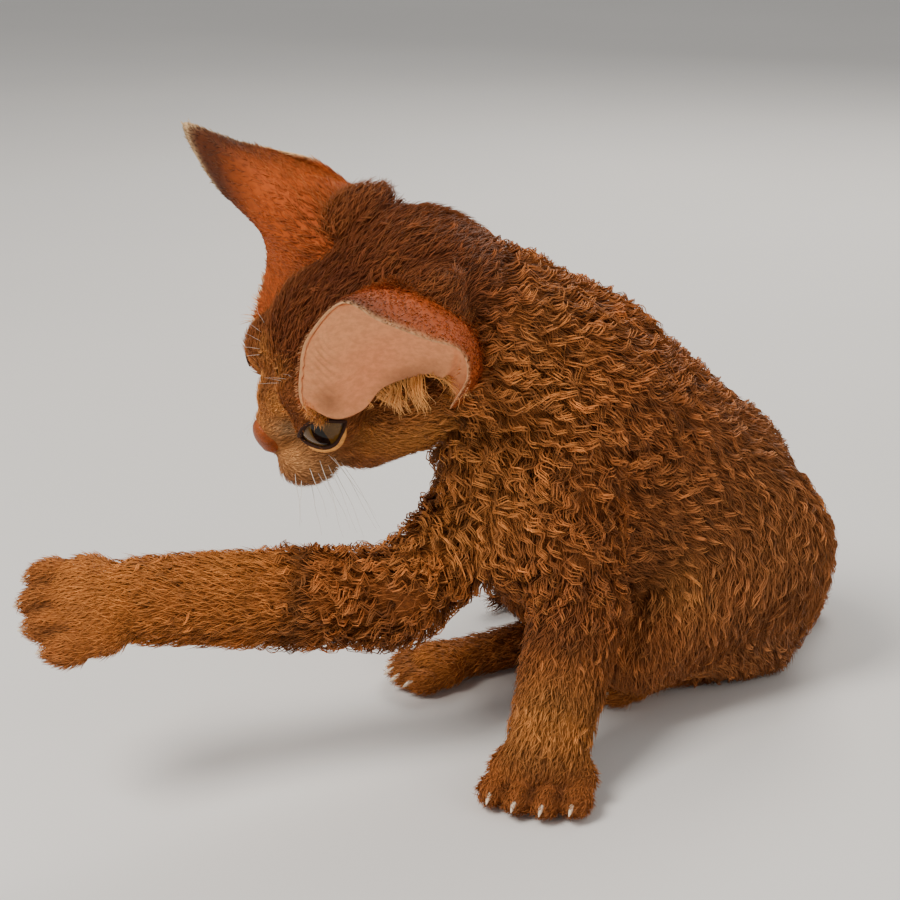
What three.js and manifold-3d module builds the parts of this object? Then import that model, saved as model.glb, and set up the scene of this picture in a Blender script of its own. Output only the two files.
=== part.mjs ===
// A still, life-size model of a curly-coated kitten that sits, leans on one forepaw and reaches out with the other.
// Millimetres, +Z up, floor at z = 0. +X is the viewer's right, -Y is towards the viewer.
import * as THREE from "three";
import { mergeVertices } from "three/addons/utils/BufferGeometryUtils.js";
import Module from "manifold-3d";

const wasm = await Module();
wasm.setup();

// Gap kept between neighbouring pieces, and how far a cut edge may move when slivers are merged away.
const GAP = 0.3;
const SMOOTHING = 0.1;

// The head's centre, its forward, left and upward directions, and its size against a plain 85 mm skull.
const HEAD_SCALE = 1.056;
const HEAD_CENTRE = new THREE.Vector3(-17.4, 0.8, 129.9);
const HEAD_FORWARD = new THREE.Vector3(-0.789, -0.159, -0.593).normalize();
const HEAD_LEFT = new THREE.Vector3(0.482, -0.759, -0.437);
HEAD_LEFT.addScaledVector(HEAD_FORWARD, -HEAD_LEFT.dot(HEAD_FORWARD)).normalize();
const HEAD_UP = new THREE.Vector3().crossVectors(HEAD_FORWARD, HEAD_LEFT);

// Eyes, in the head's own axes.
const EYE_RADIUS = 8.4;
const EYE_PLACE = [28.5, 13.6, 2.5];
const EYE_LOOK = [0.74, 0.64, -0.12];
const EYE_SLIT = [13.6, 5.2];

// Ears, in the head's own axes with the middle value measured outwards: where each sheet leaves the head, from the brow
// round the crown to the cheek, and the rim that it rises to. The right ear is swung further out than the left one.
const EAR_WALL = 1.7;
const EAR_BULGE = 6;
const EAR_MIDDLE = [4, 27, 8];
const EAR_ROOT = [
  [27, 17, 4],
  [20, 14, 12],
  [11, 12, 18],
  [2, 11, 21],
  [-7, 12, 20],
  [-14, 14, 13],
  [-15, 19, 0],
  [-10, 24, -11],
  [-1, 26, -15],
];
const EAR_RIM_LEFT = [
  [31.5, 21, 9],
  [31.5, 20.5, 20],
  [26, 22, 32],
  [19, 24, 42.5],
  [6.5, 29.5, 51.5],
  [1.5, 37, 45.5],
  [-4.5, 43, 37],
  [-9.5, 44.5, 26.5],
  [-7, 43, 14],
  [2, 39.5, 3],
];
const EAR_RIM_RIGHT = [
  [31.5, 21, 9],
  [15.5, 38, 11],
  [12.5, 49.5, 16.5],
  [16, 56, 26.5],
  [12.5, 67, 41],
  [5, 57, 36],
  [-3, 47.5, 31.5],
  [-10, 38.5, 28],
  [-9.5, 44.5, 12],
  [1, 41, 2],
];

// Rounded clumps of curly coat: the way from one to the next, half their length, width and height, how deep the middle
// of each is sunk, and how far the body under them lies inside the coat's outline. Turn is how far each swings aside,
// tilt the angle between two rows over the end of a spine. None stands lower or nearer to another part than this.
const CLUMP_SPACING = 27;
const CLUMP_HALF = [15.5, 12.5, 5.6];
const CLUMP_SINK = 3.4;
const COAT_DEPTH = 2;
const CLUMP_TURN = 0.7;
const CLUMP_TILT = 0.6;
const CLUMP_LOWEST = 13;
const CLUMP_CLEARANCE = 5;

const v3 = (x, y, z) => new THREE.Vector3(x, y, z);

function headPoint(forward, left, up) {
  return HEAD_CENTRE.clone()
    .addScaledVector(HEAD_FORWARD, forward * HEAD_SCALE)
    .addScaledVector(HEAD_LEFT, left * HEAD_SCALE)
    .addScaledVector(HEAD_UP, up * HEAD_SCALE);
}

function headDirection(forward, left, up) {
  return v3(0, 0, 0)
    .addScaledVector(HEAD_FORWARD, forward)
    .addScaledVector(HEAD_LEFT, left)
    .addScaledVector(HEAD_UP, up)
    .normalize();
}

// Masses of flesh. A ball has a radius along each of three axes, a limb is a round bar that tapers between two ends.
function ball(centre, radii, axes = [v3(1, 0, 0), v3(0, 1, 0), v3(0, 0, 1)]) {
  return (p) => {
    const d = p.clone().sub(centre);
    const q = axes.map((axis, i) => d.dot(axis) / radii[i]);
    const near = Math.hypot(...q);
    const slope = Math.hypot(...q.map((value, i) => value / radii[i]));
    return slope < 1e-9 ? -Math.min(...radii) : (near * (near - 1)) / slope;
  };
}

function limb(from, to, startRadius, endRadius) {
  const line = to.clone().sub(from);
  const length2 = line.lengthSq();
  return (p) => {
    const d = p.clone().sub(from);
    const t = THREE.MathUtils.clamp(d.dot(line) / length2, 0, 1);
    return d.addScaledVector(line, -t).length() - THREE.MathUtils.lerp(startRadius, endRadius, t);
  };
}

function headBall(place, radii) {
  const scaled = radii.map((r) => r * HEAD_SCALE);
  return ball(headPoint(...place), scaled, [HEAD_FORWARD, HEAD_LEFT, HEAD_UP]);
}

function pair(place, radii) {
  const [forward, left, up] = place;
  return [headBall([forward, left, up], radii), headBall([forward, -left, up], radii)];
}

function blendTwo(a, b, width) {
  const h = Math.max(width - Math.abs(a - b), 0) / width;
  return Math.min(a, b) - h * h * width * 0.25;
}

function blend(masses, width) {
  return (p) => masses.reduce((sum, mass) => blendTwo(sum, mass(p), width), 1e3);
}

// Places of the joints and of the middle of the trunk.
const NECK_TOP = v3(-6, 4, 128);
const NECK_BASE = v3(12, 7, 121);
const WITHERS = v3(34, 15, 103);
const CHEST = v3(21, 5, 88);
const BRISKET = v3(22, 2, 68);
const LOIN = v3(56, 31, 84);
const CROUP = v3(77, 46, 62);
const RUMP = v3(86, 54, 34);
const SHOULDER = { left: v3(34, -10, 86), right: v3(14, 12, 68) };
const ELBOW = { left: v3(38, -14, 46), right: v3(-15, -18, 51) };
const WRIST = { left: v3(28, -43, 14), right: v3(-84, -46, 61) };
const PALM = { left: v3(26.5, -47, 8), right: v3(-98, -52, 62) };
const HIP = { left: v3(96, 38, 46), right: v3(74, 70, 46) };
const KNEE = { left: v3(58, 6, 27), right: v3(32, 50, 30) };
const HOCK = { left: v3(102, 44, 9), right: v3(56, 66, 9) };
const TOES = { left: v3(56, 24, 6), right: v3(-4, 34, 6) };
const TAIL = [v3(112, 74, 16), v3(122, 92, 9.5), v3(104, 112, 8.5), v3(72, 118, 7.5), v3(42, 110, 6.5), v3(18, 94, 5)];
const TAIL_RADII = [11, 9.5, 8.5, 7.5, 6.5, 4.5];

const HEAD_MASSES = [
  headBall([-7, 0, 3], [32, 27.5, 26]),
  headBall([-10, -16, 18], [12, 11, 9]),
  headBall([13, 0, 9], [22, 20, 19]),
  ...pair([5, 15, -9], [19, 14, 15]),
  headBall([30, 0, 2], [14, 10, 10]),
  headBall([41, 0, -5], [10, 7, 6.5]),
  ...pair([41.5, 7.2, -16.5], [9.8, 8.4, 8.6]),
  headBall([49.5, 0, -8.5], [4.2, 5, 3.6]),
  headBall([34.5, 0, -26], [9.5, 8, 6.5]),
  headBall([17, 0, -19], [23, 15, 12]),
  ...pair([25, 13, 10], [8, 8, 5.5]),
  ...pair([EYE_PLACE[0] - 0.5, EYE_PLACE[1] - 0.5, EYE_PLACE[2]], [9.6, 9.6, 9.4]),
  ...pair([-4, 23, 13], [13, 9, 11]),
];
const BODY_MASSES = [
  limb(NECK_TOP, NECK_BASE, 24, 27),
  limb(NECK_BASE, WITHERS, 27, 31),
  limb(CHEST, WITHERS, 24, 31),
  limb(CHEST, BRISKET, 25, 22),
  limb(WITHERS, LOIN, 31, 30),
  limb(LOIN, CROUP, 30, 31.5),
  limb(CROUP, RUMP, 31.5, 39),
  limb(BRISKET, v3(66, 38, 50), 22, 30),
];
const LIMB_MASSES = {
  arm: ["left", "right"].map((side) => limb(SHOULDER[side], ELBOW[side], 17, 14)),
  forearm: [limb(ELBOW.left, WRIST.left, 15, 12.5), limb(ELBOW.right, WRIST.right, 16, 13)],
  thigh: [limb(HIP.left, KNEE.left, 27, 17), limb(HIP.right, KNEE.right, 27, 17)],
  shank: [limb(KNEE.left, HOCK.left, 14, 9), limb(KNEE.right, HOCK.right, 14, 9)],
  foot: [limb(HOCK.left, TOES.left, 8.5, 7), limb(HOCK.right, TOES.right, 8.5, 7)],
};
const TAIL_MASSES = TAIL.slice(1).map((place, i) => limb(TAIL[i], place, TAIL_RADII[i], TAIL_RADII[i + 1]));

// A paw: a palm and four toes in a fan, each toe ending in a short claw.
function toePlaces(palm, ahead, side, up, size) {
  return [-1.5, -0.5, 0.5, 1.5].map((step) => {
    const inner = 1 - 0.13 * step * step;
    return palm
      .clone()
      .addScaledVector(ahead, size.length * inner)
      .addScaledVector(side, step * size.spread)
      .addScaledVector(up, -size.drop);
  });
}

function pawMasses(palm, ahead, side, up, size) {
  const axes = [ahead, side, up];
  const toes = toePlaces(palm, ahead, side, up, size);
  return [
    ball(palm, [size.length * 0.95, size.spread * 2.1, size.thick], axes),
    ...toes.map((toe) => ball(toe, [size.toe * 1.35, size.toe, size.toe * 0.95], axes)),
  ];
}

const PAWS = {
  fore_paw_left: {
    palm: PALM.left,
    ahead: v3(-0.3, -0.95, 0).normalize(),
    up: v3(0, 0, 1),
    size: { length: 10.5, spread: 8, drop: 3, thick: 9.2, toe: 5.6 },
  },
  fore_paw_right: {
    palm: PALM.right,
    ahead: v3(-0.92, -0.36, 0.02).normalize(),
    up: v3(-0.1, -0.62, 0.78).normalize(),
    size: { length: 13, spread: 8, drop: 1.5, thick: 9.5, toe: 6 },
  },
  hind_paw_left: {
    palm: TOES.left,
    ahead: v3(-0.9, -0.42, 0).normalize(),
    up: v3(0, 0, 1),
    size: { length: 9, spread: 5.4, drop: 1.2, thick: 7, toe: 4.8 },
  },
  hind_paw_right: {
    palm: TOES.right,
    ahead: v3(-0.93, -0.36, 0).normalize(),
    up: v3(0, 0, 1),
    size: { length: 9.5, spread: 5.6, drop: 1.2, thick: 7, toe: 5 },
  },
};
for (const paw of Object.values(PAWS)) {
  paw.side = v3(0, 0, 0).crossVectors(paw.up, paw.ahead).normalize();
  paw.up = v3(0, 0, 0).crossVectors(paw.ahead, paw.side).normalize();
  paw.masses = pawMasses(paw.palm, paw.ahead, paw.side, paw.up, paw.size);
}

const headField = blend(HEAD_MASSES, 5);
const trunkField = blend(BODY_MASSES, 10);
const neckField = (p) => blendTwo(trunkField(p), headField(p), 9);
const pawFields = Object.fromEntries(Object.entries(PAWS).map(([name, paw]) => [name, blend(paw.masses, 2.5)]));
const armField = (number) => (p) => blendTwo(LIMB_MASSES.arm[number](p), trunkField(p), 8);
const forearmField = (side, number) => (p) =>
  blendTwo(LIMB_MASSES.forearm[number](p), pawFields["fore_paw_" + side](p), 5);
const armFields = {
  left: { upper: armField(0), lower: forearmField("left", 0) },
  right: { upper: armField(1), lower: forearmField("right", 1) },
};
const thighField = (number) => (p) => blendTwo(LIMB_MASSES.thigh[number](p), trunkField(p), 8);
const hindFields = {
  left: { thigh: thighField(0), shank: LIMB_MASSES.shank[0], foot: LIMB_MASSES.foot[0] },
  right: { thigh: thighField(1), shank: LIMB_MASSES.shank[1], foot: LIMB_MASSES.foot[1] },
};

function toSolid(geometry) {
  const bare = geometry.clone();
  bare.deleteAttribute("normal");
  bare.deleteAttribute("uv");
  const merged = mergeVertices(bare, 1e-4);
  return new wasm.Manifold(
    new wasm.Mesh({
      numProp: 3,
      vertProperties: new Float32Array(merged.attributes.position.array),
      triVerts: new Uint32Array(merged.index.array),
    }),
  );
}

function toGeometry(solid) {
  const mesh = solid.getMesh();
  const geometry = new THREE.BufferGeometry();
  const places = new Float32Array(mesh.numVert * 3);
  for (let i = 0; i < mesh.numVert; i += 1) {
    places.set(mesh.vertProperties.subarray(i * mesh.numProp, i * mesh.numProp + 3), i * 3);
  }
  geometry.setAttribute("position", new THREE.BufferAttribute(places, 3));
  geometry.setIndex(new THREE.BufferAttribute(new Uint32Array(mesh.triVerts), 1));
  geometry.computeVertexNormals();
  return geometry;
}

function largest(solid) {
  return solid.decompose().reduce((best, piece) => (piece.volume() > best.volume() ? piece : best));
}

function union(solids) {
  return solids.reduce((sum, solid) => sum.add(solid));
}

// Distance from an anchor to the outermost surface of the field along a direction, out to a reach.
function castOut(anchor, direction, reach, field) {
  const at = (r) => field(anchor.clone().addScaledVector(direction, r));
  let outer = reach;
  if (at(outer) < 0) return reach;
  let inner = outer;
  while (inner > 0.5 && at(inner) >= 0) {
    outer = inner;
    inner -= reach / 24;
  }
  inner = Math.max(inner, 0.3);
  for (let i = 0; i < 14; i += 1) {
    const middle = (inner + outer) / 2;
    if (at(middle) < 0) inner = middle;
    else outer = middle;
  }
  return outer;
}

// A closed skin round a spine: a sphere's rings are shared out along the spine, and each point is cast on the field.
function skin(places, reaches, sides, rings, grow, field) {
  const spine = new THREE.CatmullRomCurve3(places);
  const capRings = Math.max(3, Math.round(sides / 5));
  const allRings = rings + 2 * capRings;
  const geometry = new THREE.SphereGeometry(1, sides, allRings);
  const position = geometry.attributes.position;
  const first = spine.getTangent(0);
  const across = Math.abs(first.z) > 0.8 ? v3(1, 0, 0) : v3(0, 0, 1);
  for (let ring = 0; ring <= allRings; ring += 1) {
    const middle = THREE.MathUtils.clamp((ring - capRings) / rings, 0, 1);
    const tangent = spine.getTangent(middle);
    const anchor = spine.getPoint(middle);
    const side = v3(0, 0, 0).crossVectors(tangent, across).normalize();
    const up = v3(0, 0, 0).crossVectors(side, tangent).normalize();
    let tilt = 0;
    if (ring < capRings) tilt = (-(capRings - ring) / capRings) * (Math.PI / 2);
    if (ring > allRings - capRings) tilt = ((ring - allRings + capRings) / capRings) * (Math.PI / 2);
    const reach = THREE.MathUtils.lerp(reaches[0], reaches[1], middle);
    for (let i = 0; i <= sides; i += 1) {
      const turn = (i / sides) * 2 * Math.PI;
      const direction = v3(0, 0, 0)
        .addScaledVector(side, Math.cos(turn) * Math.cos(tilt))
        .addScaledVector(up, Math.sin(turn) * Math.cos(tilt))
        .addScaledVector(tangent, Math.sin(tilt));
      const far = castOut(anchor, direction, reach, field) + grow;
      const point = anchor.clone().addScaledVector(direction, far);
      position.setXYZ(ring * (sides + 1) + i, point.x, point.y, point.z);
    }
  }
  const solid = toSolid(geometry);
  return solid.volume() < 0 ? toSolid(turnedOut(geometry)) : solid;
}

function turnedOut(geometry) {
  const index = geometry.index.array;
  for (let i = 0; i < index.length; i += 3) {
    [index[i + 1], index[i + 2]] = [index[i + 2], index[i + 1]];
  }
  return geometry;
}

function headSkin(grow) {
  const back = headPoint(-14, 0, 2);
  const front = headPoint(26, 0, -5);
  return skin([back, headPoint(6, 0, -2), front], [46, 40], 30, 12, grow, headField);
}

function eyeCentre(side) {
  return headPoint(EYE_PLACE[0], side * EYE_PLACE[1], EYE_PLACE[2]);
}

function eyeBall(side, radius) {
  const geometry = new THREE.SphereGeometry(radius * HEAD_SCALE, 12, 8);
  const centre = eyeCentre(side);
  geometry.translate(centre.x, centre.y, centre.z);
  return toSolid(geometry);
}

// The slit between the lids, an almond pushed out along the line of sight.
function eyeSlit(side) {
  const half = (EYE_SLIT[0] / 2) * HEAD_SCALE;
  const tall = (EYE_SLIT[1] / 2) * HEAD_SCALE;
  const almond = new THREE.Shape();
  almond.moveTo(-half, 0);
  almond.quadraticCurveTo(0, tall * 2, half, 0);
  almond.quadraticCurveTo(0, -tall * 2, -half, 0);
  const geometry = new THREE.ExtrudeGeometry(almond, { depth: 14, bevelEnabled: false, curveSegments: 6 });
  const look = headDirection(EYE_LOOK[0], side * EYE_LOOK[1], EYE_LOOK[2]);
  const width = headDirection(EYE_LOOK[1], -side * EYE_LOOK[0], 0.1);
  const tallAxis = v3(0, 0, 0).crossVectors(look, width).normalize();
  const wide = v3(0, 0, 0).crossVectors(tallAxis, look).normalize();
  geometry.applyMatrix4(new THREE.Matrix4().makeBasis(wide, tallAxis, look).setPosition(eyeCentre(side)));
  return toSolid(geometry);
}

function smallBall(place, radii, turn = 0) {
  const geometry = new THREE.SphereGeometry(1, 10, 8);
  geometry.scale(radii[0] * HEAD_SCALE, radii[1] * HEAD_SCALE, radii[2] * HEAD_SCALE);
  geometry.rotateX(turn);
  const axes = new THREE.Matrix4().makeBasis(HEAD_FORWARD, HEAD_LEFT, HEAD_UP);
  geometry.applyMatrix4(axes.setPosition(headPoint(...place)));
  return toSolid(geometry);
}

// The groove of the mouth runs from under the nose, round below each pad of whiskers and back along the cheek.
function mouthGroove(side) {
  const path = [
    [51, 0, -14],
    [49, side * 0.6, -19.5],
    [46, side * 6.5, -22.6],
    [38, side * 12, -21.5],
    [29, side * 15, -18],
  ];
  return union(
    path.slice(1).map((end, i) => {
      const from = headPoint(...path[i]);
      const to = headPoint(...end);
      const length = from.distanceTo(to);
      const geometry = new THREE.CapsuleGeometry(0.7, length, 2, 6);
      const turn = new THREE.Quaternion().setFromUnitVectors(v3(0, 1, 0), to.clone().sub(from).normalize());
      geometry.applyQuaternion(turn);
      geometry.translate((from.x + to.x) / 2, (from.y + to.y) / 2, (from.z + to.z) / 2);
      return toSolid(geometry);
    }),
  );
}

function head(grow) {
  let solid = headSkin(grow);
  if (grow > 0) return solid;
  for (const side of [1, -1]) {
    solid = solid.subtract(eyeBall(side, EYE_RADIUS + GAP)).subtract(eyeSlit(side));
    solid = solid.subtract(smallBall([53.4, side * 2.6, -8.8], [2.2, 1.5, 1.1], 0.5 * side));
    solid = solid.subtract(mouthGroove(side));
  }
  return solid;
}

// +1 or -1 at the two edges of a span that runs from -0.5 to 0.5, and 0 between them.
function edgeSign(share) {
  return Math.abs(share) > 0.499 ? Math.sign(share) : 0;
}

// An ear is a bent sheet between its root, which is sunk in the head, and its rim. It bulges less at the front edge.
function ear(side, rimPlaces, grow) {
  const earPoint = ([forward, out, up]) => headPoint(forward, side * out, up);
  const root = new THREE.CatmullRomCurve3(EAR_ROOT.map(earPoint));
  const rim = new THREE.CatmullRomCurve3(rimPlaces.map(earPoint));
  const centre = earPoint(EAR_MIDDLE);
  const sheetPoint = (along, rise) => {
    const low = root.getPoint(along);
    const high = rim.getPoint(along);
    const middle = low.clone().lerp(high, 0.45);
    const out = middle.clone().sub(centre).normalize();
    middle.addScaledVector(out, EAR_BULGE * Math.sin(Math.PI * along) * (0.3 + 0.9 * along));
    return new THREE.QuadraticBezierCurve3(low, middle, high).getPoint(rise);
  };
  const geometry = new THREE.BoxGeometry(1, 1, 1, 16, 4, 1);
  const position = geometry.attributes.position;
  for (let i = 0; i < position.count; i += 1) {
    const along = THREE.MathUtils.clamp(position.getX(i) + 0.5, 0.002, 0.998);
    const rise = position.getY(i) + 0.5;
    const step = 0.002;
    const alongStep = sheetPoint(along + step, rise).sub(sheetPoint(along - step, rise));
    const riseStep = sheetPoint(along, Math.min(rise + step, 1)).sub(sheetPoint(along, Math.max(rise - step, 0)));
    const normal = v3(0, 0, 0).crossVectors(alongStep, riseStep).normalize();
    const point = sheetPoint(along, rise);
    point.addScaledVector(alongStep.normalize(), 2 * grow * edgeSign(position.getX(i)));
    point.addScaledVector(riseStep.normalize(), 2 * grow * edgeSign(position.getY(i)));
    point.addScaledVector(normal, position.getZ(i) * (EAR_WALL * (1 - 0.3 * rise) + 2 * grow));
    position.setXYZ(i, point.x, point.y, point.z);
  }
  const solid = toSolid(geometry);
  return solid.volume() < 0 ? toSolid(turnedOut(geometry)) : solid;
}

function claws(paw) {
  const toes = toePlaces(paw.palm, paw.ahead, paw.side, paw.up, paw.size);
  return toes.map((toe) => {
    const geometry = new THREE.ConeGeometry(1.1, 5, 5);
    const direction = paw.ahead.clone().addScaledVector(paw.up, -0.25).normalize();
    geometry.applyQuaternion(new THREE.Quaternion().setFromUnitVectors(v3(0, 1, 0), direction));
    const place = toe.clone().addScaledVector(paw.ahead, paw.size.toe * 1.35 + 0.6);
    geometry.translate(place.x, place.y, place.z);
    return toSolid(geometry);
  });
}

function paw(name, grow) {
  const { palm, ahead, size } = PAWS[name];
  const from = palm.clone().addScaledVector(ahead, -size.length * 0.2);
  const to = palm.clone().addScaledVector(ahead, size.length * 0.55);
  const reach = size.spread * 1.5 + size.toe * 2.3;
  const solid = skin([from, from.clone().lerp(to, 0.5), to], [reach, reach], 18, 4, grow, pawFields[name]);
  return grow > 0 ? solid : union([solid, ...claws(PAWS[name])]);
}

function spineOf(from, to) {
  return [from, from.clone().lerp(to, 0.5), to];
}

function straight(from, to, reaches, sides, rings, grow, field) {
  return skin(spineOf(from, to), reaches, sides, rings, grow, field);
}

// The way out of a field's surface.
function outward(field, place) {
  const step = 0.5;
  const at = (axis, way) => field(place.clone().addScaledVector(axis, way * step));
  const slope = (axis) => at(axis, 1) - at(axis, -1);
  return v3(slope(v3(1, 0, 0)), slope(v3(0, 1, 0)), slope(v3(0, 0, 1))).normalize();
}

// A seeded draw from -0.5 to 0.5, the same on every run.
function draws(seed) {
  let state = seed;
  return () => {
    state = (state * 16807) % 2147483647;
    return state / 2147483647 - 0.5;
  };
}

// Clumps stand in rows round a spine and over both its ends, where the rows tilt, and each is cast on the field. Its
// long axis follows the lie of the coat along the spine and swings aside by turns. Those on another part are left out.
function clumpRows(places, reaches, field, others, wanted = () => true) {
  const spine = new THREE.CatmullRomCurve3(places);
  const rows = Math.round(spine.getLength() / CLUMP_SPACING);
  const draw = draws(29);
  const found = [];
  for (let row = -2; row <= rows + 2; row += 1) {
    const share = THREE.MathUtils.clamp(row / rows, 0, 1);
    const tilt = (row - share * rows) * CLUMP_TILT;
    const anchor = spine.getPoint(share);
    const tangent = spine.getTangent(share);
    const across = Math.abs(tangent.z) > 0.8 ? v3(1, 0, 0) : v3(0, 0, 1);
    const side = v3(0, 0, 0).crossVectors(tangent, across).normalize();
    const up = v3(0, 0, 0).crossVectors(side, tangent).normalize();
    const reach = THREE.MathUtils.lerp(reaches[0], reaches[1], share);
    const radius = castOut(anchor, up, reach, field) * Math.cos(tilt);
    const count = Math.max(3, Math.round((2 * Math.PI * radius) / CLUMP_SPACING));
    for (let i = 0; i < count; i += 1) {
      const turn = ((i + 0.5 * Math.abs(row % 2) + 0.3 * draw()) / count) * 2 * Math.PI;
      const direction = v3(0, 0, 0)
        .addScaledVector(side, Math.cos(turn) * Math.cos(tilt))
        .addScaledVector(up, Math.sin(turn) * Math.cos(tilt))
        .addScaledVector(tangent, Math.sin(tilt));
      const swing = (i % 2 ? 1 : -1) * CLUMP_TURN + 0.4 * draw();
      const size = 1 + 0.3 * draw();
      const far = castOut(anchor, direction, reach, field);
      const place = anchor.clone().addScaledVector(direction, far);
      const hidden = others.some((other) => other(place) < CLUMP_CLEARANCE);
      if (far >= reach || hidden || place.z < CLUMP_LOWEST || !wanted(place)) continue;
      const out = outward(field, place);
      const lie = tangent.clone().addScaledVector(out, -tangent.dot(out)).normalize();
      lie.applyAxisAngle(out, swing);
      found.push({ place: place.addScaledVector(out, -CLUMP_SINK), out, lie, size });
    }
  }
  return found;
}

function clump({ place, out, lie, size }, grow) {
  const geometry = new THREE.IcosahedronGeometry(1, 0);
  geometry.scale(CLUMP_HALF[0] * size + grow, CLUMP_HALF[1] * size + grow, CLUMP_HALF[2] + grow);
  const across = v3(0, 0, 0).crossVectors(out, lie);
  geometry.applyMatrix4(new THREE.Matrix4().makeBasis(lie, across, out).setPosition(place));
  return toSolid(geometry);
}

function coated(solid, rows, grow) {
  return union([solid, ...rows.map((each) => clump(each, grow))]);
}

// Keeps what lies ahead of a plane, less half a gap. The plane is given by a point on it and the way ahead.
function ahead(solid, place, way) {
  const normal = way.clone().normalize();
  return solid.trimByPlane(normal.toArray(), normal.dot(place) + GAP / 2);
}

function back(solid, place, way) {
  return ahead(solid, place, way.clone().negate());
}

// Where the trunk and the neck are parted.
const NECK_PART = { place: v3(24, 11, 113), way: v3(0.72, 0.3, -0.62) };
const CHEST_PART = { place: v3(50, 26, 84), way: v3(0.74, 0.5, -0.45) };
const CROUP_PART = { place: v3(74, 44, 64), way: v3(0.5, 0.36, -0.79) };

const pastPlane = ({ place, way }, point) => way.dot(point.clone().sub(place));

const armSolids = [0, 1].flatMap((number) => [LIMB_MASSES.arm[number], LIMB_MASSES.forearm[number]]);
const hindSolids = [0, 1].flatMap((number) => [LIMB_MASSES.thigh[number], LIMB_MASSES.shank[number]]);
const lowerParts = [LIMB_MASSES.foot[0], LIMB_MASSES.foot[1], TAIL_MASSES[0], ...Object.values(pawFields)];

function neck() {
  const places = spineOf(v3(-8, 4, 129), v3(30, 13, 108));
  const reaches = [36, 40];
  const others = [headField, ...armSolids];
  const rows = clumpRows(places, reaches, neckField, others, (place) => pastPlane(NECK_PART, place) < 3);
  const solid = coated(skin(places, reaches, 18, 4, -COAT_DEPTH, neckField), rows, 0);
  return back(solid, NECK_PART.place, NECK_PART.way);
}

const TRUNK_SPINE = [v3(20, 3, 80), v3(36, 15, 88), LOIN, CROUP, RUMP];
const TRUNK_REACHES = [48, 54];
const trunkRows = clumpRows(
  TRUNK_SPINE,
  TRUNK_REACHES,
  trunkField,
  [headField, ...armSolids, ...hindSolids, ...lowerParts],
  (place) => pastPlane(NECK_PART, place) > -3,
);
const trunkSkin = skin(TRUNK_SPINE, TRUNK_REACHES, 18, 8, -COAT_DEPTH, trunkField);
const trunk = ahead(coated(trunkSkin, trunkRows, 0), NECK_PART.place, NECK_PART.way);
const chest = () => back(trunk, CHEST_PART.place, CHEST_PART.way);
const rump = () => ahead(trunk, CROUP_PART.place, CROUP_PART.way);
const loin = () => back(ahead(trunk, CHEST_PART.place, CHEST_PART.way), CROUP_PART.place, CROUP_PART.way);

function upperArm(side, grow) {
  const number = side === "left" ? 0 : 1;
  const places = spineOf(SHOULDER[side], ELBOW[side]);
  const reaches = [20, 18];
  const field = armFields[side].upper;
  const rows = clumpRows(places, reaches, field, [headField, LIMB_MASSES.forearm[number]]);
  return coated(skin(places, reaches, 12, 4, grow - COAT_DEPTH, field), rows, grow);
}

function forearm(side, grow) {
  return straight(ELBOW[side], WRIST[side], [19, 15], 14, 6, grow, armFields[side].lower);
}

function thigh(side, grow) {
  const number = side === "left" ? 0 : 1;
  const places = spineOf(HIP[side], KNEE[side]);
  const reaches = [30, 20];
  const field = hindFields[side].thigh;
  const inner = limb(LOIN, RUMP, 26, 30);
  const rows = clumpRows(places, reaches, field, [inner, LIMB_MASSES.shank[number], ...lowerParts]);
  return coated(skin(places, reaches, 12, 3, grow - COAT_DEPTH, field), rows, grow);
}

function lowerHindPiece(piece, side, grow) {
  const ends = { shank: [KNEE, HOCK], foot: [HOCK, TOES] }[piece];
  const reaches = { shank: [16, 11], foot: [11, 9] }[piece];
  const sides = { shank: 10, foot: 10 }[piece];
  return straight(ends[0][side], ends[1][side], reaches, sides, 5, grow, hindFields[side][piece]);
}

// The tail is one skin, parted in three lengths.
const tailWhole = skin(TAIL, [TAIL_RADII[0] + 3, TAIL_RADII[5] + 3], 10, 16, 0, blend(TAIL_MASSES, 3));
function tailLength(first, last) {
  const way = (i) => TAIL[i + 1].clone().sub(TAIL[i - 1]);
  let solid = tailWhole;
  if (first > 0) solid = ahead(solid, TAIL[first], way(first));
  if (last < TAIL.length - 1) solid = back(solid, TAIL[last], way(last));
  return solid;
}

// Every node: the colour of its coat and the function that makes its solid. A node is cut clear of those before it.
const COLOURS = { coat: 0x8a5228, face: 0x7a4a22, paw: 0xa0673a, ear: 0xb97b58, eye: 0x4a3a18 };
const sideNodes = (side) => [
  ["forearm_" + side, COLOURS.coat, (grow) => forearm(side, grow)],
  ["upper_arm_" + side, COLOURS.coat, (grow) => upperArm(side, grow)],
  ["hind_foot_" + side, COLOURS.coat, (grow) => lowerHindPiece("foot", side, grow)],
  ["shank_" + side, COLOURS.coat, (grow) => lowerHindPiece("shank", side, grow)],
  ["thigh_" + side, COLOURS.coat, (grow) => thigh(side, grow)],
];
const NODES = [
  ["eye_left", COLOURS.eye, () => eyeBall(1, EYE_RADIUS)],
  ["eye_right", COLOURS.eye, () => eyeBall(-1, EYE_RADIUS)],
  ["head", COLOURS.face, head],
  ["ear_left", COLOURS.ear, (grow) => ear(1, EAR_RIM_LEFT, grow)],
  ["ear_right", COLOURS.ear, (grow) => ear(-1, EAR_RIM_RIGHT, grow)],
  ...Object.keys(PAWS).map((name) => [name, COLOURS.paw, (grow) => paw(name, grow)]),
  ...sideNodes("left"),
  ...sideNodes("right"),
  ["tail_base", COLOURS.coat, () => tailLength(0, 2)],
  ["tail_middle", COLOURS.coat, () => tailLength(2, 4)],
  ["tail_tip", COLOURS.coat, () => tailLength(4, 5)],
  ["neck", COLOURS.coat, neck],
  ["chest", COLOURS.coat, chest],
  ["loin", COLOURS.coat, loin],
  ["rump", COLOURS.coat, rump],
];

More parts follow.
